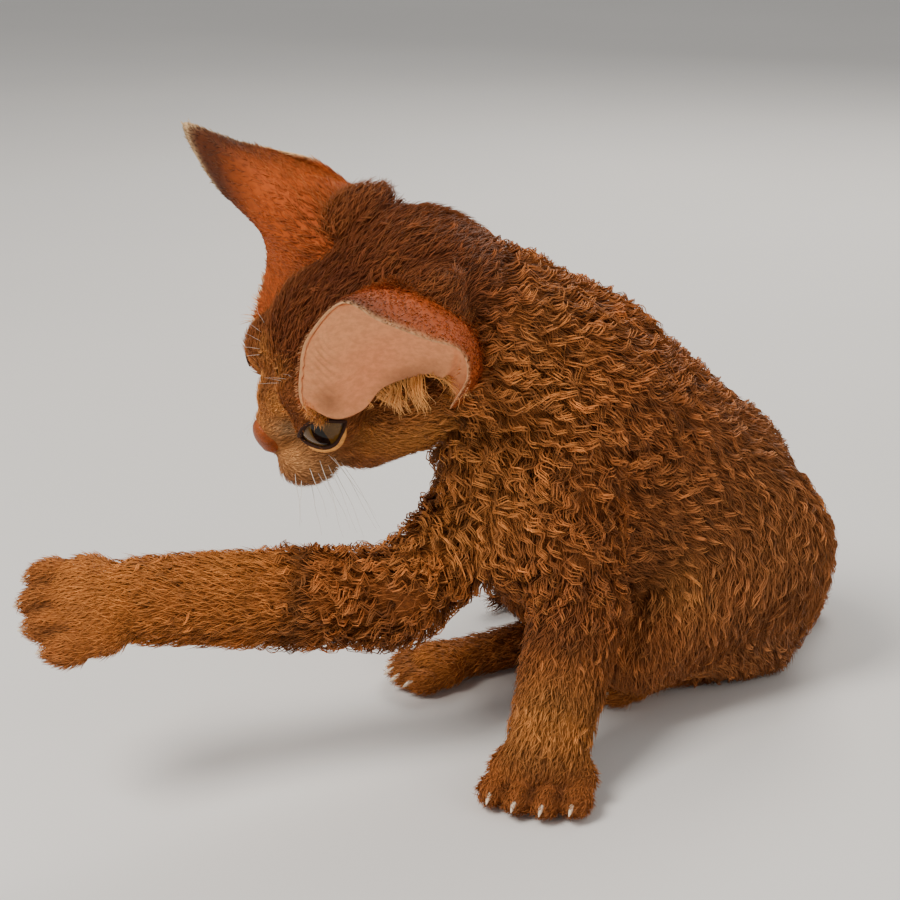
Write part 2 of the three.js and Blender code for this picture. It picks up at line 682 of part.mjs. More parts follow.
const belowFloor = toSolid(new THREE.BoxGeometry(600, 600, 100).translate(0, 0, -50));
const kept = [];
for (const [name, colour, make] of NODES) {
  let solid = make(0).subtract(belowFloor);
  for (const other of kept) {
    if (other.box.intersectsBox(boxOf(solid))) solid = solid.subtract(other.grown);
  }
  solid = largest(solid.simplify(SMOOTHING));
  kept.push({ name, colour, solid, grown: make(GAP), box: boxOf(solid).expandByScalar(1) });
}

function boxOf(solid) {
  const { min, max } = solid.boundingBox();
  return new THREE.Box3(v3(...min), v3(...max));
}

const whole = kept.reduce((box, { solid }) => box.union(boxOf(solid)), new THREE.Box3());
const middle = whole.getCenter(v3(0, 0, 0));
const kitten = new THREE.Group();
kitten.position.set(-middle.x, -middle.y, -whole.min.z);
for (const { name, colour, solid } of kept) {
  const material = new THREE.MeshStandardMaterial({ color: colour, roughness: 0.85, metalness: 0 });
  const mesh = new THREE.Mesh(toGeometry(solid), material);
  mesh.name = name;
  kitten.add(mesh);
}

export default kitten;
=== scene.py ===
"""A curly-coated kitten as a still, life-size model: skin, coat, ears, eyes, nose, claws and whiskers."""

import math
from typing import NamedTuple

import bmesh
import bpy
import numpy as np
from bpy.props import FloatProperty, FloatVectorProperty, PointerProperty
from mathutils import Matrix, Vector
from mathutils.kdtree import KDTree


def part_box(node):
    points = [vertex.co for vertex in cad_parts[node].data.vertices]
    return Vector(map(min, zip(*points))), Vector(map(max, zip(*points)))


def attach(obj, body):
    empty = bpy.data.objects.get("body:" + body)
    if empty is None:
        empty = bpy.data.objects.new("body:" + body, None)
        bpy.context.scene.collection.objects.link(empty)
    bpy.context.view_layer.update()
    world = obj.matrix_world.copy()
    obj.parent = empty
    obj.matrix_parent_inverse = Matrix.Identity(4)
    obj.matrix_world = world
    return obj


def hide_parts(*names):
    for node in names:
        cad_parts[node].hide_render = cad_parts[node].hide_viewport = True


bl_info = {
    "name": "Curly kitten",
    "version": (1, 0, 0),
    "blender": (4, 5, 0),
    "location": "View3D > Sidebar > Kitten",
    "description": "Skin, curly coat, ears, eyes, nose, claws and whiskers of a still kitten",
    "category": "Mesh",
}

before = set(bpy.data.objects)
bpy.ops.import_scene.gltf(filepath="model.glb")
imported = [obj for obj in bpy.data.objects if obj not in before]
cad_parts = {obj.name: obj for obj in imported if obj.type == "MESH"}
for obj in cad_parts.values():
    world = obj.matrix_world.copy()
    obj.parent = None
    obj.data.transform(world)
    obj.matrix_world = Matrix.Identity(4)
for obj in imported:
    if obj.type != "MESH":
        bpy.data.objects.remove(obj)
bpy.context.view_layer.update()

# Sizes of the body are in millimetres, in the frame that the masses of flesh are set out in.
MM = 0.001


def unit(vectors):
    vectors = np.asarray(vectors, float)
    return vectors / np.maximum(np.linalg.norm(vectors, axis=-1, keepdims=True), 1e-9)


# The head's centre, its forward, left and upward directions, and its size against a plain 85 mm skull.
HEAD_SCALE = 1.056
HEAD_CENTRE = np.array((-17.4, 0.8, 129.9))
HEAD_FORWARD = unit((-0.789, -0.159, -0.593))
ROUGH_LEFT = np.array((0.482, -0.759, -0.437))
HEAD_LEFT = unit(ROUGH_LEFT - HEAD_FORWARD * ROUGH_LEFT.dot(HEAD_FORWARD))
HEAD_UP = np.cross(HEAD_FORWARD, HEAD_LEFT)
HEAD_AXES = np.stack([HEAD_FORWARD, HEAD_LEFT, HEAD_UP])

# Eyes, in the head's own axes: an eyeball's radius, its centre in the solid and in the skin, the way that it
# looks, the way across its slit, half the slit's length and height, and how far in front the skin is cut.
EYE_RADIUS = 8.4
EYE_SOLID = (28.5, 13.6, 2.5)
EYE_PLACE = (29.6, 14.8, 1.6)
EYE_LOOK = (0.5, 0.78, 0.36)
EYE_WIDE = (0.8, -0.5, -0.15)
SLIT_HALF, SLIT_TALL = (size / 2 * HEAD_SCALE for size in (13.8, 8.6))
SLIT_REACH = 16

# Ears, in the head's own axes with the middle value measured outwards: where each sheet leaves the head, from
# the brow round the crown to the cheek, the rim that it rises to, and the lower edge of its bare lining.
EAR_WALL = 1.7
EAR_BULGE = 6
EAR_MIDDLE = (4, 27, 8)
EAR_ROOT = [(27, 17, 4), (20, 14, 12), (11, 12, 18), (2, 11, 21), (-7, 12, 20), (-14, 14, 13), (-15, 19, 0)]
EAR_ROOT += [(-10, 24, -11), (-1, 26, -15)]
EAR_RIM_LEFT = [(31.5, 21, 9), (31.5, 20.5, 20), (26, 22, 32), (19, 24, 42.5), (6.5, 29.5, 51.5)]
EAR_RIM_LEFT += [(1.5, 37, 45.5), (-4.5, 43, 37), (-9.5, 44.5, 26.5), (-7, 43, 14), (2, 39.5, 3)]
EAR_RIM_RIGHT = [(31.5, 21, 9), (15.5, 38, 11), (12.5, 49.5, 16.5), (16, 56, 26.5), (12.5, 67, 41)]
EAR_RIM_RIGHT += [(5, 57, 36), (-3, 47.5, 31.5), (-10, 38.5, 28), (-9.5, 44.5, 12), (1, 41, 2)]
EAR_RIMS = {1: EAR_RIM_LEFT, -1: EAR_RIM_RIGHT}
EAR_FLOOR = (5, 27, 11)
EAR_LINING_EDGE = [(27, 25, 11), (20, 26.5, 8), (12, 29, 13), (4, 33.5, 15), (-2, 37, 13)]

# The nose's leather: its middle and half sizes, and the middle and half sizes of the bare place for it.
NOSE_PLACE = (46.4, 0, -8.4)
NOSE_SIZE = (4.0, 5.2, 7.2)
NOSE_BARE = ((47.3, 0, -8.2), (5, 5.2, 6.2))
# The line of the mouth, from the nose to its corner, in the head's own axes.
MOUTH = [(52, 0, -13), (50.5, 0.5, -19.5), (47, 6.5, -23.5), (38, 12.5, -22), (29, 15.5, -18)]
# Places of the muzzle with finer skin, and how far round them.
FINE_SKIN = (((38, 0, -10), 24), ((44, 2, -14), 13))

# How many points and strands a lock has, how many hairs an ear has behind it, in its cup and in its tufts, and
# the most triangles that a piece of coat is given.
LOCK_POINTS = 8
LOCK_STRANDS = 5
EAR_BACK_HAIRS = 5200
EAR_CUP_HAIRS = 700
EAR_TUFT_HAIRS = 520
MOST_TRIANGLES = 185000

# Lamps: name, place in metres, side in metres and power in watts.
LAMPS = (
    ("key", (-0.55, -0.55, 0.95), 0.45, 15.0),
    ("fill", (0.9, -0.7, 0.5), 0.9, 4.0),
    ("back", (0.35, 0.9, 0.8), 0.6, 8.0),
)
# The camera: its place, how many degrees it looks down and its lens in millimetres.
CAMERA_PLACE = (0, -589.7, 281.6)
CAMERA_DOWN = 18
CAMERA_LENS = 84


def to_side(places, side):
    """Places of the head's left half, on its left for a side of 1 and on its right for -1."""
    return np.array(places) * (1, side, 1)


def from_head(places):
    """Points of the body's frame from places in the head's own axes."""
    return HEAD_CENTRE + HEAD_SCALE * np.asarray(places) @ HEAD_AXES


def head_point(forward, left, up):
    return from_head((forward, left, up))


def head_places(points):
    return (points - HEAD_CENTRE) @ HEAD_AXES.T / HEAD_SCALE


# How far the frame lies from the body's own places, read off the left eye's node.
EYE_CORNERS = [np.array(corner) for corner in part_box("eye_left")]
SHIFT = sum(EYE_CORNERS) / 2 / MM - head_point(*EYE_SOLID)


def to_frame(points):
    return (np.asarray(points) + SHIFT) * MM


# Kinds of coat: how deep it lies on the skin, then the length, width and lift of its short strands and how
# many stand on a square millimetre, then a lock's length, its curls' half width and length, and how many.
COAT_VALUES = ("depth", "length", "width", "lift", "many", "lock", "curl", "wave", "locks")
COATS = {
    "face": (1.0, 3.3, 0.32, 0.18, 2.0, 0, 0, 0, 0),
    "crown": (1.8, 5.8, 0.4, 0.3, 1.35, 7.0, 0.4, 9.0, 0.02),
    "curl": (4.4, 8.0, 0.5, 0.32, 0.3, 12.5, 1.8, 7.4, 0.085),
    "wave": (4.0, 8.5, 0.5, 0.3, 0.4, 11.5, 1.25, 8.4, 0.08),
    "soft": (3.0, 8.0, 0.46, 0.24, 0.8, 9.5, 0.6, 9.5, 0.045),
    "leg": (2.0, 5.8, 0.42, 0.32, 1.15, 6.5, 0.6, 7.0, 0.03),
    "paw": (1.1, 3.5, 0.36, 0.24, 1.7, 0, 0, 0, 0),
    "tail": (2.0, 6.5, 0.46, 0.3, 0.75, 8.0, 0.8, 9.0, 0.03),
}
KINDS = list(COATS)


def coat_values(name):
    return np.array([float(values[COAT_VALUES.index(name)]) for values in COATS.values()])


class Mass:
    """A mass of flesh, with its kind of coat, its part of the unwrap and the way its coat lies."""

    def __init__(self, kind, region, lie):
        self.kind = KINDS.index(kind)
        self.region = region
        self.lie = None if lie is None else unit(lie)


class Ball(Mass):
    """An egg-shaped mass on three axes of its own."""

    def __init__(self, centre, radii, axes, kind, region, lie=None):
        super().__init__(kind, region, lie)
        self.centre = np.asarray(centre, float)
        self.radii = np.asarray(radii, float)
        self.axes = np.asarray(axes)

    def distance(self, points):
        q = (points - self.centre) @ self.axes.T / self.radii
        near = np.linalg.norm(q, axis=1)
        slope = np.linalg.norm(q / self.radii, axis=1)
        return near * (near - 1) / np.maximum(slope, 1e-9)

    def add_to(self, bm, inset):
        scale = Matrix.Diagonal(Vector(self.radii - inset)).to_4x4()
        turn = Matrix(self.axes.T.tolist()).to_4x4()
        place = Matrix.Translation(Vector(self.centre))
        bmesh.ops.create_icosphere(bm, subdivisions=3, radius=1, matrix=place @ turn @ scale)


class Limb(Mass):
    """A round bar between two balls. Its coat lies from its start to its end, if no other way is given."""

    def __init__(self, start, end, start_radius, end_radius, kind, region, lie=None):
        self.start, self.end = np.asarray(start, float), np.asarray(end, float)
        super().__init__(kind, region, self.end - self.start if lie is None else lie)
        self.start_radius, self.end_radius = start_radius, end_radius

    def distance(self, points):
        line = self.end - self.start
        d = points - self.start
        t = np.clip(d @ line / line.dot(line), 0, 1)
        away = np.linalg.norm(d - t[:, None] * line, axis=1)
        return away - (1 - t) * self.start_radius - t * self.end_radius

    def add_to(self, bm, inset):
        line = Vector(self.end - self.start)
        turn = line.to_track_quat("Z", "Y").to_matrix().to_4x4()
        place = Matrix.Translation(Vector((self.start + self.end) / 2)) @ turn
        first, last = self.start_radius - inset, self.end_radius - inset
        bar = dict(radius1=first, radius2=last, depth=line.length, matrix=place)
        bmesh.ops.create_cone(bm, segments=24, cap_ends=True, **bar)
        for end, radius in ((self.start, first), (self.end, last)):
            place = Matrix.Translation(Vector(end))
            bmesh.ops.create_icosphere(bm, subdivisions=3, radius=radius, matrix=place)


def head_ball(place, radii, kind="face"):
    return Ball(head_point(*place), np.array(radii) * HEAD_SCALE, HEAD_AXES, kind, "head")


def head_pair(place, radii, kind="face"):
    forward, left, up = place
    return [head_ball((forward, side * left, up), radii, kind) for side in (1, -1)]


NECK_TOP, NECK_BASE, WITHERS = (-6, 4, 128), (12, 7, 121), (34, 15, 103)
CHEST, BRISKET, BELLY = (21, 5, 88), (22, 2, 68), (66, 38, 50)
LOIN, CROUP, RUMP = (56, 31, 84), (77, 46, 62), (86, 54, 34)
SHOULDER = {"left": (34, -10, 86), "right": (14, 12, 68)}
ELBOW = {"left": (38, -14, 46), "right": (-15, -18, 51)}
WRIST = {"left": (28, -43, 14), "right": (-84, -46, 61)}
PALM = {"left": (26.5, -47, 8), "right": (-98, -52, 62)}
HIP = {"left": (96, 38, 46), "right": (74, 70, 46)}
KNEE = {"left": (58, 6, 27), "right": (32, 50, 30)}
HOCK = {"left": (102, 44, 9), "right": (56, 66, 9)}
TOES = {"left": (56, 24, 6), "right": (-4, 34, 6)}
TAIL = [(112, 74, 16), (122, 92, 9.5), (104, 112, 8.5), (72, 118, 7.5), (42, 110, 6.5), (18, 94, 5)]
TAIL_RADII = [11, 9.5, 8.5, 7.5, 6.5, 4.5]

HEAD_MASSES = [
    head_ball((-6, 0, 3), (29, 25, 24.5), "crown"),
    *head_pair((-9, 18.5, 19), (13, 9, 10), "crown"),
    head_ball((13, 0, 9), (22, 20, 19), "crown"),
    *head_pair((5, 15, -9), (19, 14, 15), "crown"),
    *head_pair((13, 15, -19), (16, 10.5, 11.5)),
    head_ball((26, 0, -24), (14, 12, 12)),
    *head_pair((25, 10, -22), (11, 9, 11)),
    head_ball((30, 0, 2), (14, 10, 10)),
    head_ball((39, 0, -4.5), (10, 7, 6.5)),
    *head_pair((41.5, 7.2, -16.5), (9.8, 8.4, 8.6)),
    head_ball((46.8, 0, -8.5), (4.2, 5, 4.6)),
    head_ball((34.5, 0, -26), (9.5, 8, 6.5)),
    head_ball((17, 0, -19), (23, 15, 12)),
    *head_pair((28, 10.5, 11), (9.5, 8.5, 6.5)),
    *head_pair((EYE_PLACE[0] - 0.5, EYE_PLACE[1] - 0.5, EYE_PLACE[2]), (10.2, 10.2, 10.0)),
    *head_pair((-4, 23, 13), (13, 9, 11), "crown"),
]
DOWN_BACK = (0.45, 0.3, -0.85)
TRUNK_MASSES = [
    Limb(NECK_TOP, NECK_BASE, 25.5, 27.5, "curl", "trunk"),
    Limb(NECK_BASE, WITHERS, 27.5, 31, "wave", "trunk"),
    Limb(CHEST, WITHERS, 24, 31, "wave", "trunk", DOWN_BACK),
    Limb(CHEST, BRISKET, 25, 22, "curl", "trunk", DOWN_BACK),
    Limb(WITHERS, LOIN, 31, 30, "wave", "trunk"),
    Limb(LOIN, CROUP, 30, 31.5, "soft", "trunk"),
    Limb(CROUP, RUMP, 31.5, 39, "soft", "trunk"),
    Limb(BRISKET, BELLY, 22, 30, "soft", "trunk"),
]
TAIL_MASSES = [
    Limb(TAIL[i], TAIL[i + 1], TAIL_RADII[i], TAIL_RADII[i + 1], "tail", "tail_near" if i < 2 else "tail_far")
    for i in range(len(TAIL) - 1)
]

# A paw: its palm, the ways ahead and up, how far ahead the toes are, how far apart and how much lower, the
# palm's half thickness and a toe's radius.
PAWS = {
    "fore_left": (PALM["left"], (-0.3, -0.95, 0), (0, 0, 1), (10.5, 8, 3, 9.2, 5.6)),
    "fore_right": (PALM["right"], (-0.92, -0.36, 0.02), (-0.1, -0.62, 0.78), (13, 8, 1.5, 9.5, 6)),
    "hind_left": (TOES["left"], (-0.9, -0.42, 0), (0, 0, 1), (9, 5.4, 1.2, 7, 4.8)),
    "hind_right": (TOES["right"], (-0.93, -0.36, 0), (0, 0, 1), (9.5, 5.6, 1.2, 7, 5)),
}


def paw_axes(name):
    _, ahead, up, _ = PAWS[name]
    side = unit(np.cross(up, unit(ahead)))
    return np.stack([unit(ahead), side, unit(np.cross(unit(ahead), side))])


def toe_places(name):
    palm, _, _, (length, spread, drop, _, _) = PAWS[name]
    ahead, side, up = paw_axes(name)
    return [
        palm + ahead * length * (1 - 0.13 * step * step) + side * step * spread - up * drop
        for step in (-1.5, -0.5, 0.5, 1.5)
    ]


def paw_masses(name, region):
    palm, ahead, _, (length, spread, _, thick, toe) = PAWS[name]
    axes = paw_axes(name)
    found = [Ball(palm, (length * 0.95, spread * 2.1, thick), axes, "paw", region, ahead)]
    for place in toe_places(name):
        found.append(Ball(place, (toe * 1.35, toe, toe * 0.95), axes, "paw", region, ahead))
    return found


# Where the curls of the reaching foreleg end and its plainer coat starts.
CUFF = (-43, -29.4, 55)


def hind_masses(side):
    return [
        Limb(HIP[side], KNEE[side], 27, 17, "soft", "thigh_" + side, (-0.2, -0.3, -0.9)),
        Limb(KNEE[side], HOCK[side], 14, 9, "leg", "hind_" + side),
        Limb(HOCK[side], TOES[side], 8.5, 7, "leg", "hind_" + side),
    ]


STANDING_LEG = [
    Limb(SHOULDER["left"], ELBOW["left"], 17, 14, "curl", "arm_left"),
    Limb(ELBOW["left"], WRIST["left"], 15, 12.5, "leg", "forearm_left"),
]
REACHING_LEG = [
    Limb(SHOULDER["right"], ELBOW["right"], 17, 14, "curl", "arm_right"),
    Limb(ELBOW["right"], CUFF, 16, 14.6, "curl", "forearm_right"),
    Limb(CUFF, WRIST["right"], 15.2, 13, "leg", "forearm_right"),
]
# Each part's masses, how softly they run together and how softly the part joins the rest.
PARTS = [
    (TRUNK_MASSES, 10, 0),
    (HEAD_MASSES, 5, 9),
    (STANDING_LEG, 4, 8),
    (REACHING_LEG, 4, 8),
    (hind_masses("left"), 4, 8),
    (hind_masses("right"), 4, 8),
    (TAIL_MASSES, 3, 8),
    (paw_masses("fore_left", "forearm_left"), 1.8, 5),
    (paw_masses("fore_right", "forearm_right"), 1.8, 5),
    (paw_masses("hind_left", "hind_left"), 1.5, 4),
    (paw_masses("hind_right", "hind_right"), 1.5, 4),
]
MASSES = [mass for masses, _, _ in PARTS for mass in masses]


def soft_least(a, b, width):
    """The lesser of two distances, rounded off where they are within a width of each other."""
    near = np.maximum(width - np.abs(a - b), 0) / width
    return np.minimum(a, b) - near * near * width * 0.25


def outline(points):
    """How far points are from the outside of the coat, less than nothing inside it."""
    total = None
    for masses, inner, join in PARTS:
        part = masses[0].distance(points)
        for mass in masses[1:]:
            part = soft_least(part, mass.distance(points), inner)
        total = part if total is None else soft_least(total, part, join)
    return total


def slope_of(points, here):
    """The way outwards at points whose distances from the outline are known."""
    step = 0.35
    return np.stack([(outline(points + step * axis) - here) / step for axis in np.eye(3)], axis=1)


def shares(points):
    """How much of each mass, of each kind of coat and of each way of lying a point has."""
    near = np.stack([np.exp(-np.clip(mass.distance(points), -4, 40) / 2.5) for mass in MASSES], axis=1)
    near /= near.sum(axis=1, keepdims=True)
    kinds = np.zeros((len(points), len(KINDS)))
    lies = np.zeros((len(points), 3))
    nose = head_point(52, 0, -8)
    backwards = unit(unit(points - nose) - 0.5 * HEAD_FORWARD)
    for i, mass in enumerate(MASSES):
        kinds[:, mass.kind] += near[:, i]
        lies += near[:, i : i + 1] * (backwards if mass.lie is None else mass.lie)
    return near, kinds, lies


def along_skin(ways, outs):
    """Ways turned to lie on a surface with these normals."""
    return unit(ways - outs * (ways * outs).sum(axis=1, keepdims=True))


def tone(red, green, blue):
    """A colour as the eye names it, from 0 to 255, made linear."""
    share = np.array((red, green, blue)) / 255
    linear = np.where(share <= 0.04045, share / 12.92, ((share + 0.055) / 1.055) ** 2.4)
    return tuple(float(value) for value in linear)


def colour_property(name, description, default):
    return FloatVectorProperty(
        name=name, description=description, default=default, subtype="COLOR", size=3, min=0, max=1
    )


def length_property(name, description, default):
    return FloatProperty(name=name, description=description, default=default, unit="LENGTH", min=0.0005)


class KittenColours(bpy.types.PropertyGroup):
    coat: colour_property("Coat", "Rufous brown of the curls", tone(168, 98, 48))
    # Crown and dark are also laid on as painted shade: on the standing foreleg's top, behind the elbow, under
    # the belly, in the toe clefts and in the ears' cups and canals.
    crown: colour_property("Crown", "Dark rufous of the forehead, crown and toes", tone(118, 58, 28))
    dull: colour_property("Rump", "Duller brown of the rump and thighs", tone(154, 102, 62))
    gold: colour_property("Gold", "Golden bands and tips of the hairs", tone(232, 160, 84))
    dark: colour_property("Dark", "Dark brown of the forehead, tips and bars", tone(62, 32, 17))
    cream: colour_property("Cream", "Cream of the muzzle and chin", tone(240, 208, 160))
    paw: colour_property("Paws", "Cinnamon of the forearms and paws", tone(202, 126, 58))
    ear_inside: colour_property("Ear inside", "Bare skin in the cup of an ear", tone(232, 160, 112))
    ear_back: colour_property("Ear back", "Thin fur on the back of an ear", tone(168, 78, 28))
    iris: colour_property("Iris", "Olive brown of the iris", tone(98, 68, 28))
    nose: colour_property("Nose", "Leather of the nose", tone(142, 68, 24))
    claw: colour_property("Claws", "Horn of the claws", tone(228, 210, 186))
    whisker: colour_property("Whiskers", "White of the whiskers", tone(250, 246, 236))
    floor: colour_property("Floor", "Plain pale floor", tone(226, 226, 226))


class KittenSizes(bpy.types.PropertyGroup):
    skin_step: length_property("Skin step", "Length of a face of the skin", 0.00136)
    whisker: length_property("Whiskers", "Length of the longest", 0.021)
    claw: length_property("Claws", "Length that shows", 0.0042)
    floor: length_property("Floor", "Side of the floor", 14.0)


def colours(context, name):
    return np.array(getattr(context.scene.kitten_colours, name))


# Markings of the head, in its own axes with both sides alike: place, radius, colour and strength.
HEAD_MARKS = [
    ((6, 0, 26), 24, "crown", 0.95),
    ((22, 5, 18), 12, "crown", 0.85),
    ((-14, 17, 16), 15, "crown", 0.9),
    ((-24, 0, 8), 20, "crown", 0.85),
    ((10, 18, 4), 9, "crown", 0.6),
    ((37, 0, 7), 4, "dark", 0.35),
    ((41, 0, -2), 6.5, "gold", 0.7),
    ((38, 5, 5), 4.2, "gold", 0.85),
    ((41, 6, -4), 4.0, "cream", 0.7),
    ((33, 4, 15), 4, "gold", 0.5),
    ((45, 7, -14), 7, "gold", 0.9),
    ((43, 7, -21), 7, "cream", 0.85),
    ((35, 0, -31), 9, "cream", 0.8),
    ((32, 14, -8), 4.5, "cream", 0.55),
    ((24, 17, -12), 7, "gold", 0.55),
    ((12, 22, -18), 11, "gold", 0.55),
    ((38, 9.5, -2), 3.2, "dark", 0.85),
    ((44, 8.5, -17), 6, "cream", 0.6),
    ((25, 20, 2), 3.5, "dark", 0.5),
    # Painted shade deep in the ear's cup, over its floor.
    ((5, 29, 9), 8, "dark", 0.85),
]
# Markings of the body, and painted shade under the chest and belly: place, radius, colour and strength.
BODY_MARKS = [
    ((-62, -38, 60), 20, "paw", 0.85),
    ((-95, -50, 62), 22, "paw", 0.95),
    ((-66, -40, 52), 9, "coat", 0.5),
    ((30, -44, 22), 16, "gold", 0.6),
    ((28, -52, 6), 9, "crown", 0.7),
    # Painted shade on the standing foreleg's top, under the chest.
    ((30, -26, 42), 14, "crown", 0.35),
    ((92, 40, 46), 44, "dull", 0.8),
    ((70, 8, 44), 9, "gold", 0.4),
    ((62, 20, 30), 16, "dull", 0.5),
    # Painted shade in the hollow behind the elbow, on the standing foreleg's top and under the belly.
    ((44, -6, 52), 12, "dark", 0.45),
    ((32, -26, 46), 13, "dark", 0.45),
    ((60, 6, 54), 10, "dark", 0.3),
    ((0, -14, 72), 18, "gold", 0.25),
    ((16, -26, 98), 16, "gold", 0.1),
    ((10, -14, 90), 20, "gold", 0.12),
    ((18, -8, 122), 20, "gold", 0.2),
    ((-2, 34, 8), 16, "paw", 0.8),
    ((56, 20, 8), 16, "paw", 0.8),
    ((18, 94, 6), 18, "dark", 0.7),
]


def small_marks():
    """Dark dots at the whiskers' roots, and painted shade in the clefts between the toes."""
    dots = [(place, 0.85, "dark", 0.85) for place, _, _ in whisker_rows() if place[1] > 0]
    toe_cleft_shade = []
    for name in PAWS:
        toes = toe_places(name)
        ahead, _, up = paw_axes(name)
        for first, second in zip(toes, toes[1:]):
            middle = (first + second) / 2 + up * 3
            toe_cleft_shade += [(middle - ahead * back, 1.8, "dark", 0.6) for back in (-4, -1, 2)]
    return dots, toe_cleft_shade


def whisker_rows():
    """Where the whiskers of both pads and both brows stand on the head, which way and how long."""
    found = []
    for side in (1, -1):
        for row in range(3):
            for place in range(4):
                root = (45.5 - 3.0 * place - 0.5 * row, side * (10 + 1.0 * place), -13.5 - 2.6 * row)
                found.append((root, (0.5 - 0.14 * place, side * 0.7, -0.62 - 0.05 * row), 0.6 + 0.13 * place))
        for hair in range(5):
            root = (34 - 1.8 * hair, side * (6 + hair), 14.5)
            found.append((root, (0.7 - 0.25 * hair, side * 0.1 * hair, 0.9), 0.4))
    return found


def stain(base, points, marks, context):
    """Colours with soft round marks laid over them."""
    for place, radius, name, strength in marks:
        share = strength * np.exp(-((np.linalg.norm(points - np.array(place), axis=1) / radius) ** 2))
        base = base + share[:, None] * (colours(context, name) - base)
    return base


def markings_and_painted_light(points, context):
    """The coat's colour at points on the skin, for skin and hair alike, with painted shade laid in under the
    chest, at the cuff and in the toe clefts.
    """
    dots, toe_cleft_shade = small_marks()
    base = np.tile(colours(context, "coat"), (len(points), 1))
    base = stain(base, points, BODY_MARKS + toe_cleft_shade, context)
    bars = 0.5 + 0.5 * np.sin(points[:, 2] * 0.42 + 0.05 * points[:, 0])
    on_legs = np.exp(-(((points[:, 2] - 24) / 20) ** 2)) * (points[:, 1] < 0) * (points[:, 0] < 50)
    base = base * (1 - 0.3 * (bars * on_legs)[:, None])
    # Painted shade: a narrow dark band on the reaching foreleg where its curls end and overhang the plainer
    # coat.
    cuff_shade = np.exp(-(((points[:, 0] + 41 - 0.12 * (points[:, 2] - 55)) / 2.6) ** 2))
    base = base * (1 - 0.55 * cuff_shade[:, None] * (points[:, 1:2] < -8) * (points[:, 2:] < 85))
    flecks = np.sin(points @ (0.31, 0.27, 0.12)) * np.sin(points @ (-0.11, 0.23, 0.35) + 1.3)
    base = base * (1 + 0.1 * flecks[:, None])
    places = head_places(points)
    mirrored = places * (1, 0, 1) + np.abs(places) * (0, 1, 0)
    on_head = np.exp(-np.maximum(np.linalg.norm(places - (8, 0, 0), axis=1) - 40, 0) / 6)
    stripes = 1 - 0.22 * np.sin(mirrored[:, 1] * 0.9 + mirrored[:, 2] * 0.15) ** 2 * (mirrored[:, 2] > 6)
    marked = stain(base, mirrored, HEAD_MARKS + dots, context) * stripes[:, None]
    return base + on_head[:, None] * (marked - base)


class Wire:
    """A value in a shader, so that its maths reads as an expression."""

    def __init__(self, shader, socket):
        self.shader, self.socket = shader, socket

    def maths(self, operation, *values):
        return self.shader.node("ShaderNodeMath", {"operation": operation}, dict(enumerate(values)))

    def __add__(self, other):
        return self.maths("ADD", self, other)

    def __sub__(self, other):
        return self.maths("SUBTRACT", self, other)

    def __mul__(self, other):
        return self.maths("MULTIPLY", self, other)

    def __rsub__(self, other):
        return self.maths("SUBTRACT", other, self)

    def step(self, low, high):
        """Rises smoothly from 0 to 1 between two values."""
        settings = {"interpolation_type": "SMOOTHSTEP"}
        values = {"Value": self, "From Min": low, "From Max": high}
        return self.shader.node("ShaderNodeMapRange", settings, values)

    __radd__ = __add__
    __rmul__ = __mul__


class Shader:
    """A new material and its node tree, with values set straight on its Principled shader."""

    def __init__(self, name, finish):
        self.material = bpy.data.materials.new(name)
        self.material.use_nodes = True
        self.tree = self.material.node_tree
        self.surface = self.tree.nodes["Principled BSDF"]
        for socket, value in finish.items():
            self.surface.inputs[socket].default_value = value

    def node(self, kind, settings=None, values=None, output=0):
        made = self.tree.nodes.new(kind)
        for name, value in (settings or {}).items():
            setattr(made, name, value)
        for name, value in (values or {}).items():
            self.feed(made.inputs[name], value)
        return Wire(self, made.outputs[output])

    def feed(self, socket, value):
        if isinstance(value, Wire):
            self.tree.links.new(value.socket, socket)
        else:
            socket.default_value = value

    def surface_takes(self, **values):
        for name, value in values.items():
            self.feed(self.surface.inputs[name.replace("_", " ")], value)

    def place(self):
        return self.node("ShaderNodeTexCoord", output="Object")

    def stretched(self, scale, turn=(0, 0, 0)):
        values = {"Vector": self.place(), "Scale": scale, "Rotation": turn}
        return self.node("ShaderNodeMapping", None, values)

    def noise(self, scale, detail=3, roughness=0.5, vector=None):
        values = {"Vector": vector or self.place(), "Scale": scale, "Detail": detail, "Roughness": roughness}
        return self.node("ShaderNodeTexNoise", None, values)

    def colour_attribute(self, name):
        return self.node("ShaderNodeAttribute", {"attribute_name": name}, output="Color")

    def mixed(self, factor, first, second, how="MIX"):
        settings = {"data_type": "RGBA", "blend_type": how}
        return self.node("ShaderNodeMix", settings, {0: factor, 6: first, 7: second}, 2)

    def bump(self, height, strength, distance):
        values = {"Height": height, "Strength": strength, "Distance": distance}
        return self.node("ShaderNodeBump", None, values)


def rgba(colour):
    return (*[float(value) for value in colour], 1.0)


def hair_material(name):
    shader = Shader(name, {"Specular IOR Level": 0.22})
    drift = shader.noise(260, 2)
    colour = shader.colour_attribute("markings_and_painted_light")
    dim = shader.mixed(drift.step(0.3, 0.7), (0.84, 0.82, 0.8, 1), (1.1, 1.1, 1.1, 1))
    shader.surface_takes(Base_Color=shader.mixed(1.0, colour, dim, "MULTIPLY"), Roughness=0.5 + 0.2 * drift)
    return shader.material


def skin_material():
    shader = Shader("short coat on skin", {"Specular IOR Level": 0.15})
    streaks = shader.noise(900, 4, 0.6, shader.stretched((1, 1, 3.5), (0.4, 0.5, 0.3)))
    dim = shader.mixed(streaks.step(0.3, 0.7), (0.36, 0.32, 0.3, 1), (0.72, 0.7, 0.68, 1))
    colour = shader.mixed(1.0, shader.colour_attribute("markings_and_painted_light"), dim, "MULTIPLY")
    normal = shader.bump(streaks, 0.7, 0.0006)
    shader.surface_takes(Base_Color=colour, Roughness=0.62 + 0.2 * streaks, Normal=normal)
    return shader.material


